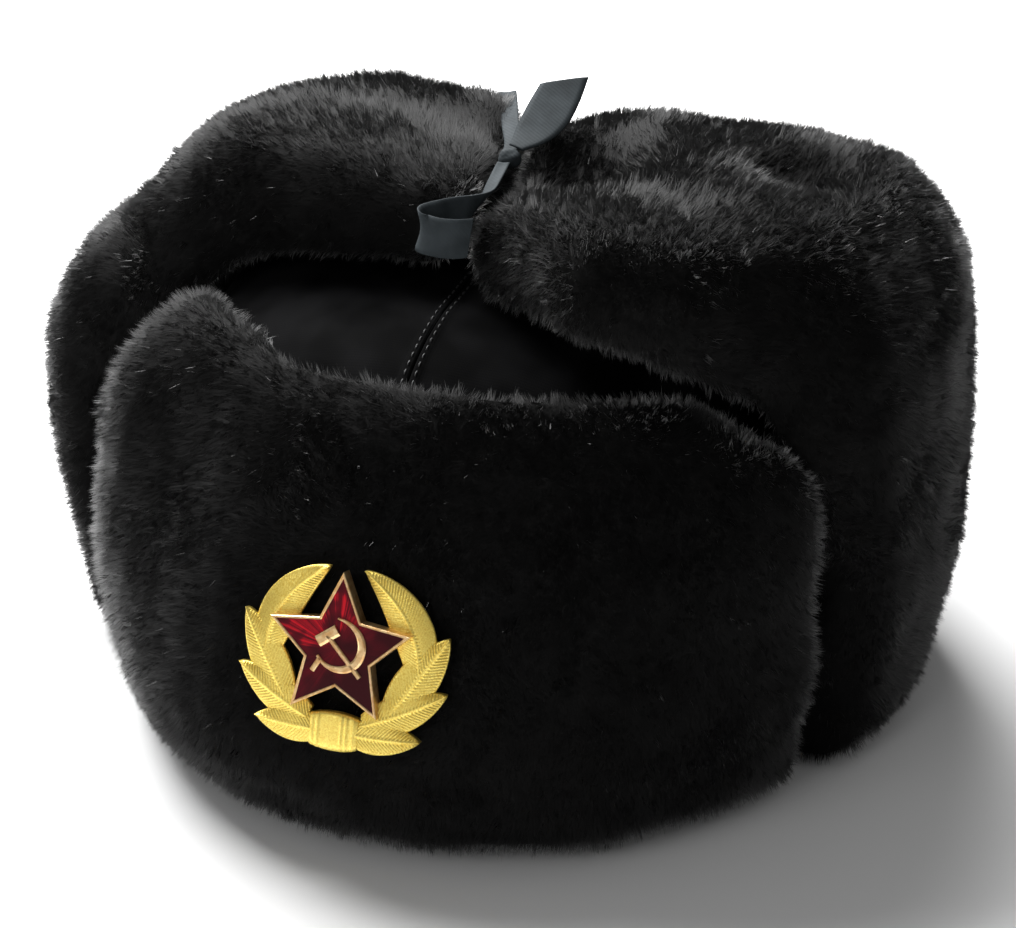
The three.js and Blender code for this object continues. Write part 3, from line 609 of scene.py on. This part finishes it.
def remeshed(name, source, voxel):
    """A copy of a solid's mesh in even small faces."""
    copy = bpy.data.objects.new(name + "_copy", bpy.data.objects[source].data.copy())
    bpy.context.scene.collection.objects.link(copy)
    change = copy.modifiers.new("even", "REMESH")
    change.mode = "VOXEL"
    change.voxel_size = voxel
    ready = copy.evaluated_get(bpy.context.evaluated_depsgraph_get())
    mesh = bpy.data.meshes.new_from_object(ready)
    mesh.name = name
    bpy.data.objects.remove(copy)
    return mesh


def smoothed(mesh, rounds):
    """Evens out a mesh's points in rounds that draw it in and let it out again, so that it keeps its size."""
    points = positions_of(mesh)
    edges = np.empty(len(mesh.edges) * 2, dtype=np.int64)
    mesh.edges.foreach_get("vertices", edges)
    a, b = edges.reshape(-1, 2).T
    size = len(points)
    count = np.bincount(np.concatenate([a, b]), minlength=size)[:, None]
    for _ in range(rounds):
        for share in (SHRINK, SWELL):
            total = np.zeros_like(points)
            for k in range(3):
                total[:, k] = np.bincount(a, points[b, k], size) + np.bincount(b, points[a, k], size)
            points = points + share * (total / count - points)
    return points


def lumps(points, size, seed):
    """Soft noise between about -1 and 1 at each point."""
    shift = Vector([seed * each for each in SEED_SHIFTS])
    return np.array([noise.noise(Vector(p) / size + shift) for p in points])


# Flaps


def flap_body(name, source, seed):
    """A flap's padded body: the solid, evened out, drawn in by the pile's depth and softly lumpy."""
    mesh = remeshed(name, source, VOXEL)
    points = smoothed(mesh, SMOOTHING_ROUNDS)
    for middle, radius, shift in SHAPING[source]:
        off = ((points / MM - np.array(middle)) ** 2).sum(axis=1)
        points = points + np.exp(-off / radius**2)[:, None] * np.array(shift) * MM
    place_points(mesh, points)
    swell = sum(height * lumps(points, size, seed + step) for height, size, step in LUMPS)
    points = points + normals_of(mesh) * (swell - PILE_DEPTH)[:, None]
    points[:, 2] = np.maximum(points[:, 2], FLOOR_GAP)
    place_points(mesh, points)
    mesh.shade_smooth()
    return mesh


def scattered(mesh, count, random):
    """Random places on a mesh, with their normals. Faces turned to the hat's middle get fewer."""
    mesh.calc_loop_triangles()
    corners = np.empty(len(mesh.loop_triangles) * 3, dtype=np.int64)
    mesh.loop_triangles.foreach_get("vertices", corners)
    corners = corners.reshape(-1, 3)
    points = positions_of(mesh)
    normals = normals_of(mesh)
    a, b, c = (points[corners[:, k]] for k in range(3))
    across = np.cross(b - a, c - a)
    area = np.linalg.norm(across, axis=1) / 2
    facing = (unit(across) * unit(HAT_MIDDLE - (a + b + c) / 3)).sum(axis=1)
    share = INNER_SHARE + (1 - INNER_SHARE) * np.clip((INNER_FACING - facing) / INNER_FADE, 0, 1)
    weight = area * share
    picked = random.choice(len(area), size=count, p=weight / weight.sum())
    u, v = random.random((2, count))
    over = u + v > 1
    u[over], v[over] = 1 - u[over], 1 - v[over]
    shares = (1 - u - v, u, v)
    chosen = corners[picked]
    place, normal = (
        sum(values[chosen[:, k]] * shares[k][:, None] for k in range(3)) for values in (points, normals)
    )
    return place, unit(normal)


def combed(points, normals, fall, seed):
    """The direction the pile lies in at each point: along fall, turned this way and that over the surface."""
    swirl = np.stack([lumps(points, SWIRL_SIZE, seed + step) for step in SWIRL_SEEDS], axis=1)
    wanted = np.asarray(fall) + SWIRL * swirl
    along = wanted - normals * (wanted * normals).sum(axis=1)[:, None]
    return unit(along)


def hairs_mesh(name, points, shading):
    """A mesh of loose triangles, three points each, shaded by one normal each."""
    count = len(points) // 3
    mesh = bpy.data.meshes.new(name)
    mesh.vertices.add(len(points))
    mesh.vertices.foreach_set("co", points.ravel())
    mesh.loops.add(len(points))
    mesh.loops.foreach_set("vertex_index", np.arange(len(points)))
    mesh.polygons.add(count)
    mesh.polygons.foreach_set("loop_start", np.arange(count) * 3)
    mesh.update(calc_edges=True)
    mesh.shade_smooth()
    mesh.normals_split_custom_set_from_vertices(unit(np.repeat(shading, 3, axis=0)))
    return mesh


def pile_mesh(name, body, fall, seed):
    """The pile: tapered blades in tufts, each tuft's tips drawn together."""
    random = np.random.default_rng(seed)
    tuft_at, tuft_normal = scattered(body, TUFTS, random)
    tuft_along = combed(tuft_at, tuft_normal, fall, seed)
    tuft_along = unit(tuft_along + random.normal(0, TUFT_STRAY, tuft_along.shape))
    tuft_length = HAIR_LENGTH * random.uniform(*TUFT_LENGTHS, TUFTS)
    tuft_tip = tuft_at + tuft_length[:, None] * (UPRIGHT * tuft_normal + LAID * tuft_along)
    tree = kdtree.KDTree(TUFTS)
    for k, at in enumerate(tuft_at):
        tree.insert(at, k)
    tree.balance()

    root, normal = scattered(body, HAIRS, random)
    tuft = np.array([tree.find(at)[1] for at in root])
    along = unit(tuft_along[tuft] + random.normal(0, HAIR_STRAY, root.shape))
    length = (tuft_length[tuft] * random.uniform(*HAIR_LENGTHS, HAIRS))[:, None]
    tip = root + length * (UPRIGHT * normal + LAID * along)
    tip = tip + TUFT_PULL * (tuft_tip[tuft] - tip) + random.normal(0, TIP_STRAY, root.shape)
    flat = unit(np.cross(tip - root, normal) + random.normal(0, ROLL, root.shape) * length)
    half = HAIR_WIDTH * random.uniform(*HALF_WIDTHS, HAIRS)[:, None] * flat
    turned = (np.cross(half, tip - root) * normal).sum(axis=1) < 0
    half[turned] *= -1  # so that every hair's front is the side that is seen from outside
    points = np.stack([root - half, root + half, tip], axis=1).reshape(-1, 3)
    points[:, 2] = np.maximum(points[:, 2], FLOOR_GAP)
    shading = normal + SHADING_LEAN * unit(tip - root) + random.normal(0, SHADING_STRAY, normal.shape)
    return hairs_mesh(name, points, shading)


def make_flaps():
    """Each flap's body, with its pile."""
    fur = fur_material()
    ground = ground_material()
    for source, fall, seed in FLAPS:
        body = piece(source + "_body", flap_body(source + "_body", source, seed), ground, (source,))
        piece(source + "_pile", pile_mesh(source + "_pile", body.data, fall, seed), fur)


# Crown


def plan_share(x, y):
    """How far out a point lies in the crown's plan: 1 on its outline."""
    across = abs(x / CROWN_HALF_WIDTH) ** PLAN_POWER
    along = abs(y / CROWN_HALF_LENGTH) ** PLAN_POWER
    return (across + along) ** (1 / PLAN_POWER)


def crown_point(angle, t, inset):
    """A point of the crown, in millimetres, a given depth under its outside."""
    z, share = curve_point(CROWN_LEVELS, min(max(t, 0.0), 1.0) * (len(CROWN_LEVELS) - 1))
    d = Vector((math.sin(angle), -math.cos(angle)))
    rim = d / plan_share(d.x, d.y)
    upright = min(1.0, WALL_TURN * share**3)
    scale = share - inset * upright / rim.length
    return Vector((rim.x * scale, rim.y * scale, max(z - inset * (1 - upright), 0)))


def crown_girth(angle):
    """The way along the crown's outside from the rim to the top, in metres."""
    path = [crown_point(angle, j / GIRTH_STEPS, 0) for j in range(GIRTH_STEPS + 1)]
    return sum((b - a).length for a, b in zip(path, path[1:])) * MM


def crown_skin(p, side):
    """A point of the crown's outside, softly uneven, with a low welt along its seam."""
    off = abs(p.x)
    wave = sum(height * noise.noise(p / size + shift) for height, size, shift in CLOTH_WAVES)
    welt = WELT_RISE / (1 + math.exp((off - WELT_HALF_WIDTH) * WELT_EDGE))
    groove = SEAM_DEPTH * math.exp(-((off / SEAM_HALF_WIDTH) ** 2))
    outwards = Vector((p.x, p.y, max(p.z - DOME_BASE, 0) * DOME_LIFT)).normalized()
    moved = p + outwards * (wave - CLOTH_SINK + welt - groove)
    return Vector((side * max(abs(moved.x), SEAM_HALF_GAP), moved.y, max(moved.z, 0.0)))


def crown_faces(row, side):
    """The faces of a half dome's outside, its inside, its rim and its two ends at the seam."""
    sheet = (CROWN_TURNS + 1) * row
    faces = []
    for i in range(CROWN_TURNS):
        for j in range(CROWN_RISE):
            a = i * row + j
            faces.append((a, a + row, a + row + 1, a + 1))
            faces.append((a + 1 + sheet, a + row + 1 + sheet, a + row + sheet, a + sheet))
    for i in range(CROWN_TURNS):
        a = i * row
        faces.append((a, a + sheet, a + row + sheet, a + row))
    for i in (0, CROWN_TURNS):
        for j in range(CROWN_RISE):
            a = i * row + j
            end = (a, a + 1, a + 1 + sheet, a + sheet)
            faces.append(end if i == 0 else end[::-1])
    return faces if side > 0 else [face[::-1] for face in faces]


def crown_half(name, side):
    """One half of the crown, from the seam at the front round the side to the seam at the back."""
    points = []
    for inset in (0.0, CROWN_WALL):
        for i in range(CROWN_TURNS + 1):
            even = math.pi * i / CROWN_TURNS
            angle = side * (even - SEAM_CLOSENESS * math.sin(2 * even) / 2)
            for j in range(CROWN_RISE + 1):
                p = crown_point(angle, 1 - (1 - j / CROWN_RISE) ** RISE_POWER, inset)
                p.x = side * max(abs(p.x), SEAM_HALF_GAP)
                if inset == 0:
                    p = crown_skin(p, side)
                points.append((p + CROWN_MIDDLE) * MM)
    return mesh_of(name, points, crown_faces(CROWN_RISE + 1, side))


def seam_path():
    """The seam's points, from the front rim over the top to the back rim, and the length up to each."""
    shares = [1 - (1 - j / SEAM_STEPS) ** RISE_POWER for j in range(SEAM_STEPS + 1)]
    path = [crown_point(0, t, 0) for t in shares] + [crown_point(math.pi, t, 0) for t in shares[::-1]]
    lengths = [0.0]
    for a, b in zip(path, path[1:]):
        lengths.append(lengths[-1] + (b - a).length)
    return path, lengths


def along_path(path, lengths, distance):
    """The point at a distance along a path."""
    k = int(np.searchsorted(lengths, distance))
    k = min(max(k, 1), len(path) - 1)
    span = max(lengths[k] - lengths[k - 1], TINY)
    return path[k - 1].lerp(path[k], (distance - lengths[k - 1]) / span)


def stitch_points(path, lengths, start, side):
    """One stitch's rings of points."""
    points = []
    for share, thick in STITCH_FORM:
        here = along_path(path, lengths, start + share * STITCH_LENGTH)
        ahead = along_path(path, lengths, start + share * STITCH_LENGTH + LOOK_AHEAD) - here
        along = ahead.normalized()
        out = Vector((0, along.z, -along.y))
        if out.dot(Vector((0, here.y, here.z - INSIDE_HEIGHT))) < 0:
            out = -out
        lift = STITCH_ENDS + STITCH_ARCH * math.sin(math.pi * share)
        centre = crown_skin(here + Vector((side * STITCH_OFFSET, 0, 0)), side) + out * lift
        for k in range(STITCH_SIDES):
            turn = 2 * math.pi * k / STITCH_SIDES
            ring = Vector((1, 0, 0)) * math.cos(turn) + out * math.sin(turn)
            points.append((centre + ring * (STITCH_THICK / 2 * thick) + CROWN_MIDDLE) * MM)
    return points


def seam_stitches(name):
    """Two rows of stitches along the crown's seam."""
    path, lengths = seam_path()
    points, faces = [], []
    for side in (-1, 1):
        distance = SEAM_MARGIN
        while distance + STITCH_LENGTH < lengths[-1] - SEAM_MARGIN:
            first = len(points)
            points += stitch_points(path, lengths, distance, side)
            faces += tube_faces(first, len(STITCH_FORM) - 1, STITCH_SIDES)
            distance += STITCH_STEP
    return mesh_of(name, points, faces)


def make_crown():
    """The crown's two halves and the stitches between them."""
    cloth = cloth_material()
    flat = (crown_girth(math.pi / 2), crown_girth(0) + crown_girth(math.pi))
    for side, source in ((1, "crown_panel_left"), (-1, "crown_panel_right")):
        half = piece(source + "_cloth", crown_half(source + "_cloth", side), cloth, (source,))
    piece("crown_seam_stitches", seam_stitches("crown_seam_stitches"), thread_material())


# Badge


def on_flap(x, y, z, bent):
    """A point of the badge's own frame, in its place on the front flap."""
    if bent:
        turn = x / BADGE_BEND
        r = BADGE_BEND + z
        x, z = r * math.sin(turn), r * math.cos(turn) - BADGE_BEND
    t = math.radians(BADGE_TURN)
    x, y = x * math.cos(t) - y * math.sin(t), x * math.sin(t) + y * math.cos(t)
    a = math.radians(90 - BADGE_LEAN)
    y, z = y * math.cos(a) - z * math.sin(a), y * math.sin(a) + z * math.cos(a)
    return (Vector((x, y, z)) + BADGE_PLACE) * MM


def smooth_step(value, low, high):
    t = min(1.0, max(0.0, (value - low) / (high - low)))
    return t * t * (3 - 2 * t)


def grid_solid(rows, columns, surface):
    """Points and faces of a slab: a relief, over a flat back, with a wall round it."""
    points = [surface(i / rows, 2 * j / columns - 1) for i in range(rows + 1) for j in range(columns + 1)]
    row = columns + 1
    faces = []
    for i in range(rows):
        for j in range(columns):
            a = i * row + j
            faces.append((a, a + row, a + row + 1, a + 1))
    border = list(range(columns))
    border += [i * row + columns for i in range(rows)]
    border += [rows * row + j for j in range(columns, 0, -1)]
    border += [i * row for i in range(rows, 0, -1)]
    first = len(points)
    points += [(points[k][0], points[k][1], PLATE_BACK) for k in border]
    for n, k in enumerate(border):
        after = (n + 1) % len(border)
        faces.append((k, border[after], first + after, first + n))
    faces.append(tuple(range(first + len(border) - 1, first - 1, -1)))
    return points, faces


def leaf_relief(base, bend, tip, width, height, side):
    """A leaf's face: swelling to both sides of a midrib, with slanting veins."""
    length = sum(math.dist(a, b) for a, b in ((base, bend), (bend, tip)))

    def surface(t, v):
        spot = [(1 - t) ** 2 * a + 2 * t * (1 - t) * b + t * t * c for a, b, c in zip(base, bend, tip)]
        way = [2 * (1 - t) * (b - a) + 2 * t * (c - b) for a, b, c in zip(base, bend, tip)]
        size = math.hypot(*way)
        along = (way[0] / size, way[1] / size)
        fullness = math.sin(math.pi * (LEAF_START + (1 - LEAF_START) * t)) ** LEAF_FULLNESS
        half = max(width / 2 * fullness, LEAF_TIP)
        off = v * half
        rise = (0.5 + 0.5 * min(1, half / FULL_HALF_WIDTH)) * (1 - abs(v) ** LEAF_SWELL)
        rib = RIB_RISE * math.exp(-((off / RIB_HALF_WIDTH) ** 2))
        phase = (t * length - VEIN_SLANT * abs(off)) / VEIN_SPACING
        vein = VEIN_RISE * math.sin(2 * math.pi * phase)
        vein *= smooth_step(abs(off), *VEIN_FROM_RIB) * smooth_step(half - abs(off), *VEIN_TO_EDGE)
        x, y = spot[0] - along[1] * off, spot[1] + along[0] * off
        return (side * x, y, height - LEAF_SINK + rise + rib + vein)

    return surface


def band_relief(t, v):
    """The face of the band, with ribs across it and round edges."""
    end = 2 * t - 1
    x = BAND_HALF_LENGTH * end
    half = BAND_HALF_WIDTH + BAND_BULGE * (1 - end**2)
    ribs = sum(BAND_RIB_RISE * math.exp(-(((x - at) / wide) ** 2)) for at, wide in BAND_RIBS)
    fall = BAND_EDGE_FALL * abs(v) ** 5 + BAND_END_FALL * abs(end) ** 6
    return (x, BAND_MIDDLE + half * v, BAND_FACE + ribs - fall)


def star_loop(inset, z):
    """The star's outline, drawn in by an inset at its notches and by more at its tips."""
    loop = []
    for i in range(STAR_CORNERS):
        a = 2 * math.pi * i / STAR_CORNERS
        r = STAR_NOTCH - inset if i % 2 else STAR_RADIUS - TIP_RIM * inset
        loop.append((r * math.sin(a), r * math.cos(a), z))
    return loop


def star_rim():
    """The raised rim round the star and the floor inside it."""
    loops = [
        star_loop(0, PLATE_BACK),
        star_loop(0, STAR_FACE - RIM_ROUND),
        star_loop(RIM_ROUND, STAR_FACE),
        star_loop(RIM_WIDTH - RIM_ROUND, STAR_FACE),
        star_loop(RIM_WIDTH, STAR_FACE - RIM_ROUND),
        star_loop(RIM_WIDTH, STAR_FLOOR),
    ]
    points = [p for loop in loops for p in loop]
    faces = []
    n = STAR_CORNERS
    last = (len(loops) - 1) * n
    for first in range(0, last, n):
        for k in range(n):
            a, b = first + k, first + (k + 1) % n
            faces.append((a, a + n, b + n, b))
    middle = len(points)
    points.append((0, 0, STAR_FLOOR))
    faces += [(middle, last + (k + 1) % n, last + k) for k in range(n)]
    back = len(points)
    points.append((0, 0, PLATE_BACK))
    faces += [(back, k, (k + 1) % n) for k in range(n)]
    return points, faces


def strip_solid(middles, low, high):
    """A strip along points with directions and half widths, raised, its face chamfered along both edges."""
    section = (
        (0, low),
        (0, high - CHAMFER),
        (CHAMFER_SHARE, high),
        (1 - CHAMFER_SHARE, high),
        (1, high - CHAMFER),
        (1, low),
    )
    points = []
    for x, y, along, half in middles:
        left = (x - along.y * half, y + along.x * half)
        right = (x + along.y * half, y - along.x * half)
        for share, z in section:
            points.append((*(a + (b - a) * share for a, b in zip(left, right)), z))
    return points, tube_faces(0, len(middles) - 1, len(section))


def figure_parts(low, high):
    """The sickle's blade, its grip and the hammer."""
    middles = []
    for i in range(BLADE_STEPS + 1):
        place = i / BLADE_STEPS * (len(BLADE) - 1)
        x, y, half = curve_point(BLADE, place)
        along = Vector(curve_slope(BLADE, place)[:2]).normalized()
        middles.append((x, y, along, half))
    made = [strip_solid(middles, low, high)]
    for start, end, half in BARS:
        along = Vector((end[0] - start[0], end[1] - start[1])).normalized()
        made.append(strip_solid([(*start, along, half), (*end, along, half)], low, high))
    return made


def joined(name, parts, bent, smooth):
    """One mesh, on the flap, of several solids given in the badge's own frame."""
    points, faces = [], []
    for part_points, part_faces in parts:
        first = len(points)
        points += [on_flap(*p, bent) for p in part_points]
        faces += [tuple(first + k for k in face) for face in part_faces]
    mesh = mesh_of(name, points, faces, smooth)
    sides = bmesh.new()
    sides.from_mesh(mesh)
    bmesh.ops.recalc_face_normals(sides, faces=sides.faces)
    sides.to_mesh(mesh)
    sides.free()
    return mesh


def badge_wreath(name):
    """Four leaves on each side and the band below."""
    parts = []
    for leaf in LEAVES:
        for side in (-1, 1):
            parts.append(grid_solid(*LEAF_GRID, leaf_relief(*leaf, side)))
    parts.append(grid_solid(*BAND_GRID, band_relief))
    return joined(name, parts, bent=True, smooth=True)


def badge_star(name):
    """The star's rim, the floor inside it and the figure."""
    figure = figure_parts(STAR_FLOOR - FIGURE_SINK, STAR_FACE + FIGURE_RISE)
    return joined(name, [star_rim(), *figure], bent=False, smooth=False)


def badge_enamel(name):
    """The enamel, with the badge's own frame as its map."""
    inset = RIM_WIDTH + ENAMEL_GAP
    low = STAR_FLOOR + ENAMEL_GAP
    flat = star_loop(inset, ENAMEL_FACE) + star_loop(inset, low) + [(0, 0, ENAMEL_FACE), (0, 0, low)]
    faces = []
    n = STAR_CORNERS
    for k in range(n):
        after = (k + 1) % n
        faces.append((2 * n, after, k))
        faces.append((2 * n + 1, n + k, n + after))
        faces.append((k, after, n + after, n + k))
    mesh = mesh_of(name, [on_flap(*p, bent=False) for p in flat], faces, smooth=False)
    layer = mesh.uv_layers.new(name="badge")
    for corner in mesh.loops:
        layer.data[corner.index].uv = flat[corner.vertex_index][:2]
    return mesh


def make_badge():
    """The gilt wreath and star, the enamel, and steel for the post."""
    piece("badge_wreath_gilt", badge_wreath("badge_wreath_gilt"), gilt_material(), ("badge_plate",))
    piece("badge_star_gilt", badge_star("badge_star_gilt"), rim_material())
    enamel = enamel_material()
    piece("badge_enamel_red", badge_enamel("badge_enamel_red"), enamel, ("badge_enamel",))
    steel = steel_material()
    for place in bpy.data.objects["badge_post"].material_slots:
        place.material = steel


# Tapes


def tape_mesh(name, stations, steps):
    """A flat woven tape, slightly cupped, and its flat width, length and area in metres."""
    middles, acrosses, halves, slants = zip(*stations)
    sizes = list(zip(halves, slants))
    last = len(stations) - 1
    points = []
    length, area, before = 0.0, 0.0, None
    for i in range(steps + 1):
        place = i / steps * last
        middle = Vector(curve_point(middles, place))
        ahead = Vector(curve_point(middles, min(place + CURVE_STEP, last)))
        behind = Vector(curve_point(middles, max(place - CURVE_STEP, 0)))
        along = (ahead - behind).normalized()
        wide = Vector(curve_point(acrosses, place))
        wide = (wide - along * wide.dot(along)).normalized()
        out = along.cross(wide)
        half, slant = curve_point(sizes, place)
        if before is not None:
            length += (middle - before).length
            area += (middle - before).length * 2 * half
        before = middle
        for face in (1, -1):
            for j in range(TAPE_ACROSS + 1):
                v = (2 * j / TAPE_ACROSS - 1) * face
                share = TAPE_MIDDLE + (1 - TAPE_MIDDLE) * abs(v) if abs(v) < 1 else TAPE_EDGE
                thick = TAPE_THICK / 2 * share
                spot = middle + (wide + along * slant) * (half * v) + out * (thick * face + TAPE_CUP * v * v)
                points.append((spot + TAPE_SHIFT) * MM)
    faces = tube_faces(0, steps, 2 * (TAPE_ACROSS + 1))
    return mesh_of(name, points, faces), (TAPE_WIDTH * MM, length * MM), area * MM * MM


def knot_mesh(name, source):
    """The knot: its solid, evened out and softly folded."""
    mesh = remeshed(name, source, KNOT_VOXEL)
    points = smoothed(mesh, KNOT_ROUNDS)
    place_points(mesh, points)
    folds = lumps(points, KNOT_FOLD_SIZE, KNOT_SEED)
    place_points(mesh, points + normals_of(mesh) * (KNOT_FOLD_RISE * folds)[:, None])
    mesh.shade_smooth()
    return mesh


def make_tapes():
    """The knot and the three tapes that come out of it."""
    tape = tape_material()
    knot = piece("tie_knot_tape", knot_mesh("tie_knot_tape", "tie_knot"), tape, ("tie_knot",))
    for source, stations, steps, held in TAPES:
        mesh, flat, area = tape_mesh(source + "_tape", stations, steps)
        ribbon = piece(source + "_tape", mesh, tape, (source,))


# Camera, floor and lights


def aim(obj, target):
    obj.rotation_mode = "QUATERNION"
    obj.rotation_quaternion = (target - obj.location).to_track_quat("-Z", "Y")


def make_camera():
    """The camera that the photograph was taken with, and how its picture is shown."""
    data = bpy.data.cameras.new("camera")
    data.lens = CAMERA_LENS
    data.sensor_width = SENSOR_WIDTH
    data.clip_start, data.clip_end = CAMERA_RANGE
    camera = bpy.data.objects.new("camera", data)
    bpy.context.scene.collection.objects.link(camera)
    a, e = math.radians(CAMERA_AZIMUTH), math.radians(CAMERA_ELEVATION)
    back = Vector((math.sin(a) * math.cos(e), -math.cos(a) * math.cos(e), math.sin(e)))
    camera.location = CAMERA_TARGET + back * CAMERA_DISTANCE
    aim(camera, CAMERA_TARGET)
    bpy.context.scene.camera = camera
    bpy.context.scene.view_settings.view_transform = "Standard"


def make_floor():
    corners = [(x * FLOOR_HALF_SIDE, y * FLOOR_HALF_SIDE, 0) for x, y in ((-1, -1), (1, -1), (1, 1), (-1, 1))]
    mesh = mesh_of("floor", corners, [(0, 1, 2, 3)], smooth=False)
    mesh.materials.append(floor_material())
    floor = bpy.data.objects.new("floor", mesh)
    floor.location.z = -FLOOR_DROP
    bpy.context.scene.collection.objects.link(floor)


def make_lights():
    for name, (place, size, power) in LIGHTS.items():
        data = bpy.data.lights.new(name, "AREA")
        data.shape = "RECTANGLE"
        data.size, data.size_y = size
        data.energy = power
        light = bpy.data.objects.new(name, data)
        light.location = place
        bpy.context.scene.collection.objects.link(light)
        aim(light, LIGHT_TARGET)


def make_sky():
    """Even white light from all sides."""
    world = bpy.data.worlds.new("world")
    world.use_nodes = True
    sky = world.node_tree.nodes["Background"]
    sky.inputs["Color"].default_value = grey(1)
    sky.inputs["Strength"].default_value = SKY_STRENGTH
    bpy.context.scene.world = world


make_camera()
make_floor()
make_lights()
make_sky()
make_crown()
make_flaps()
make_tapes()
make_badge()
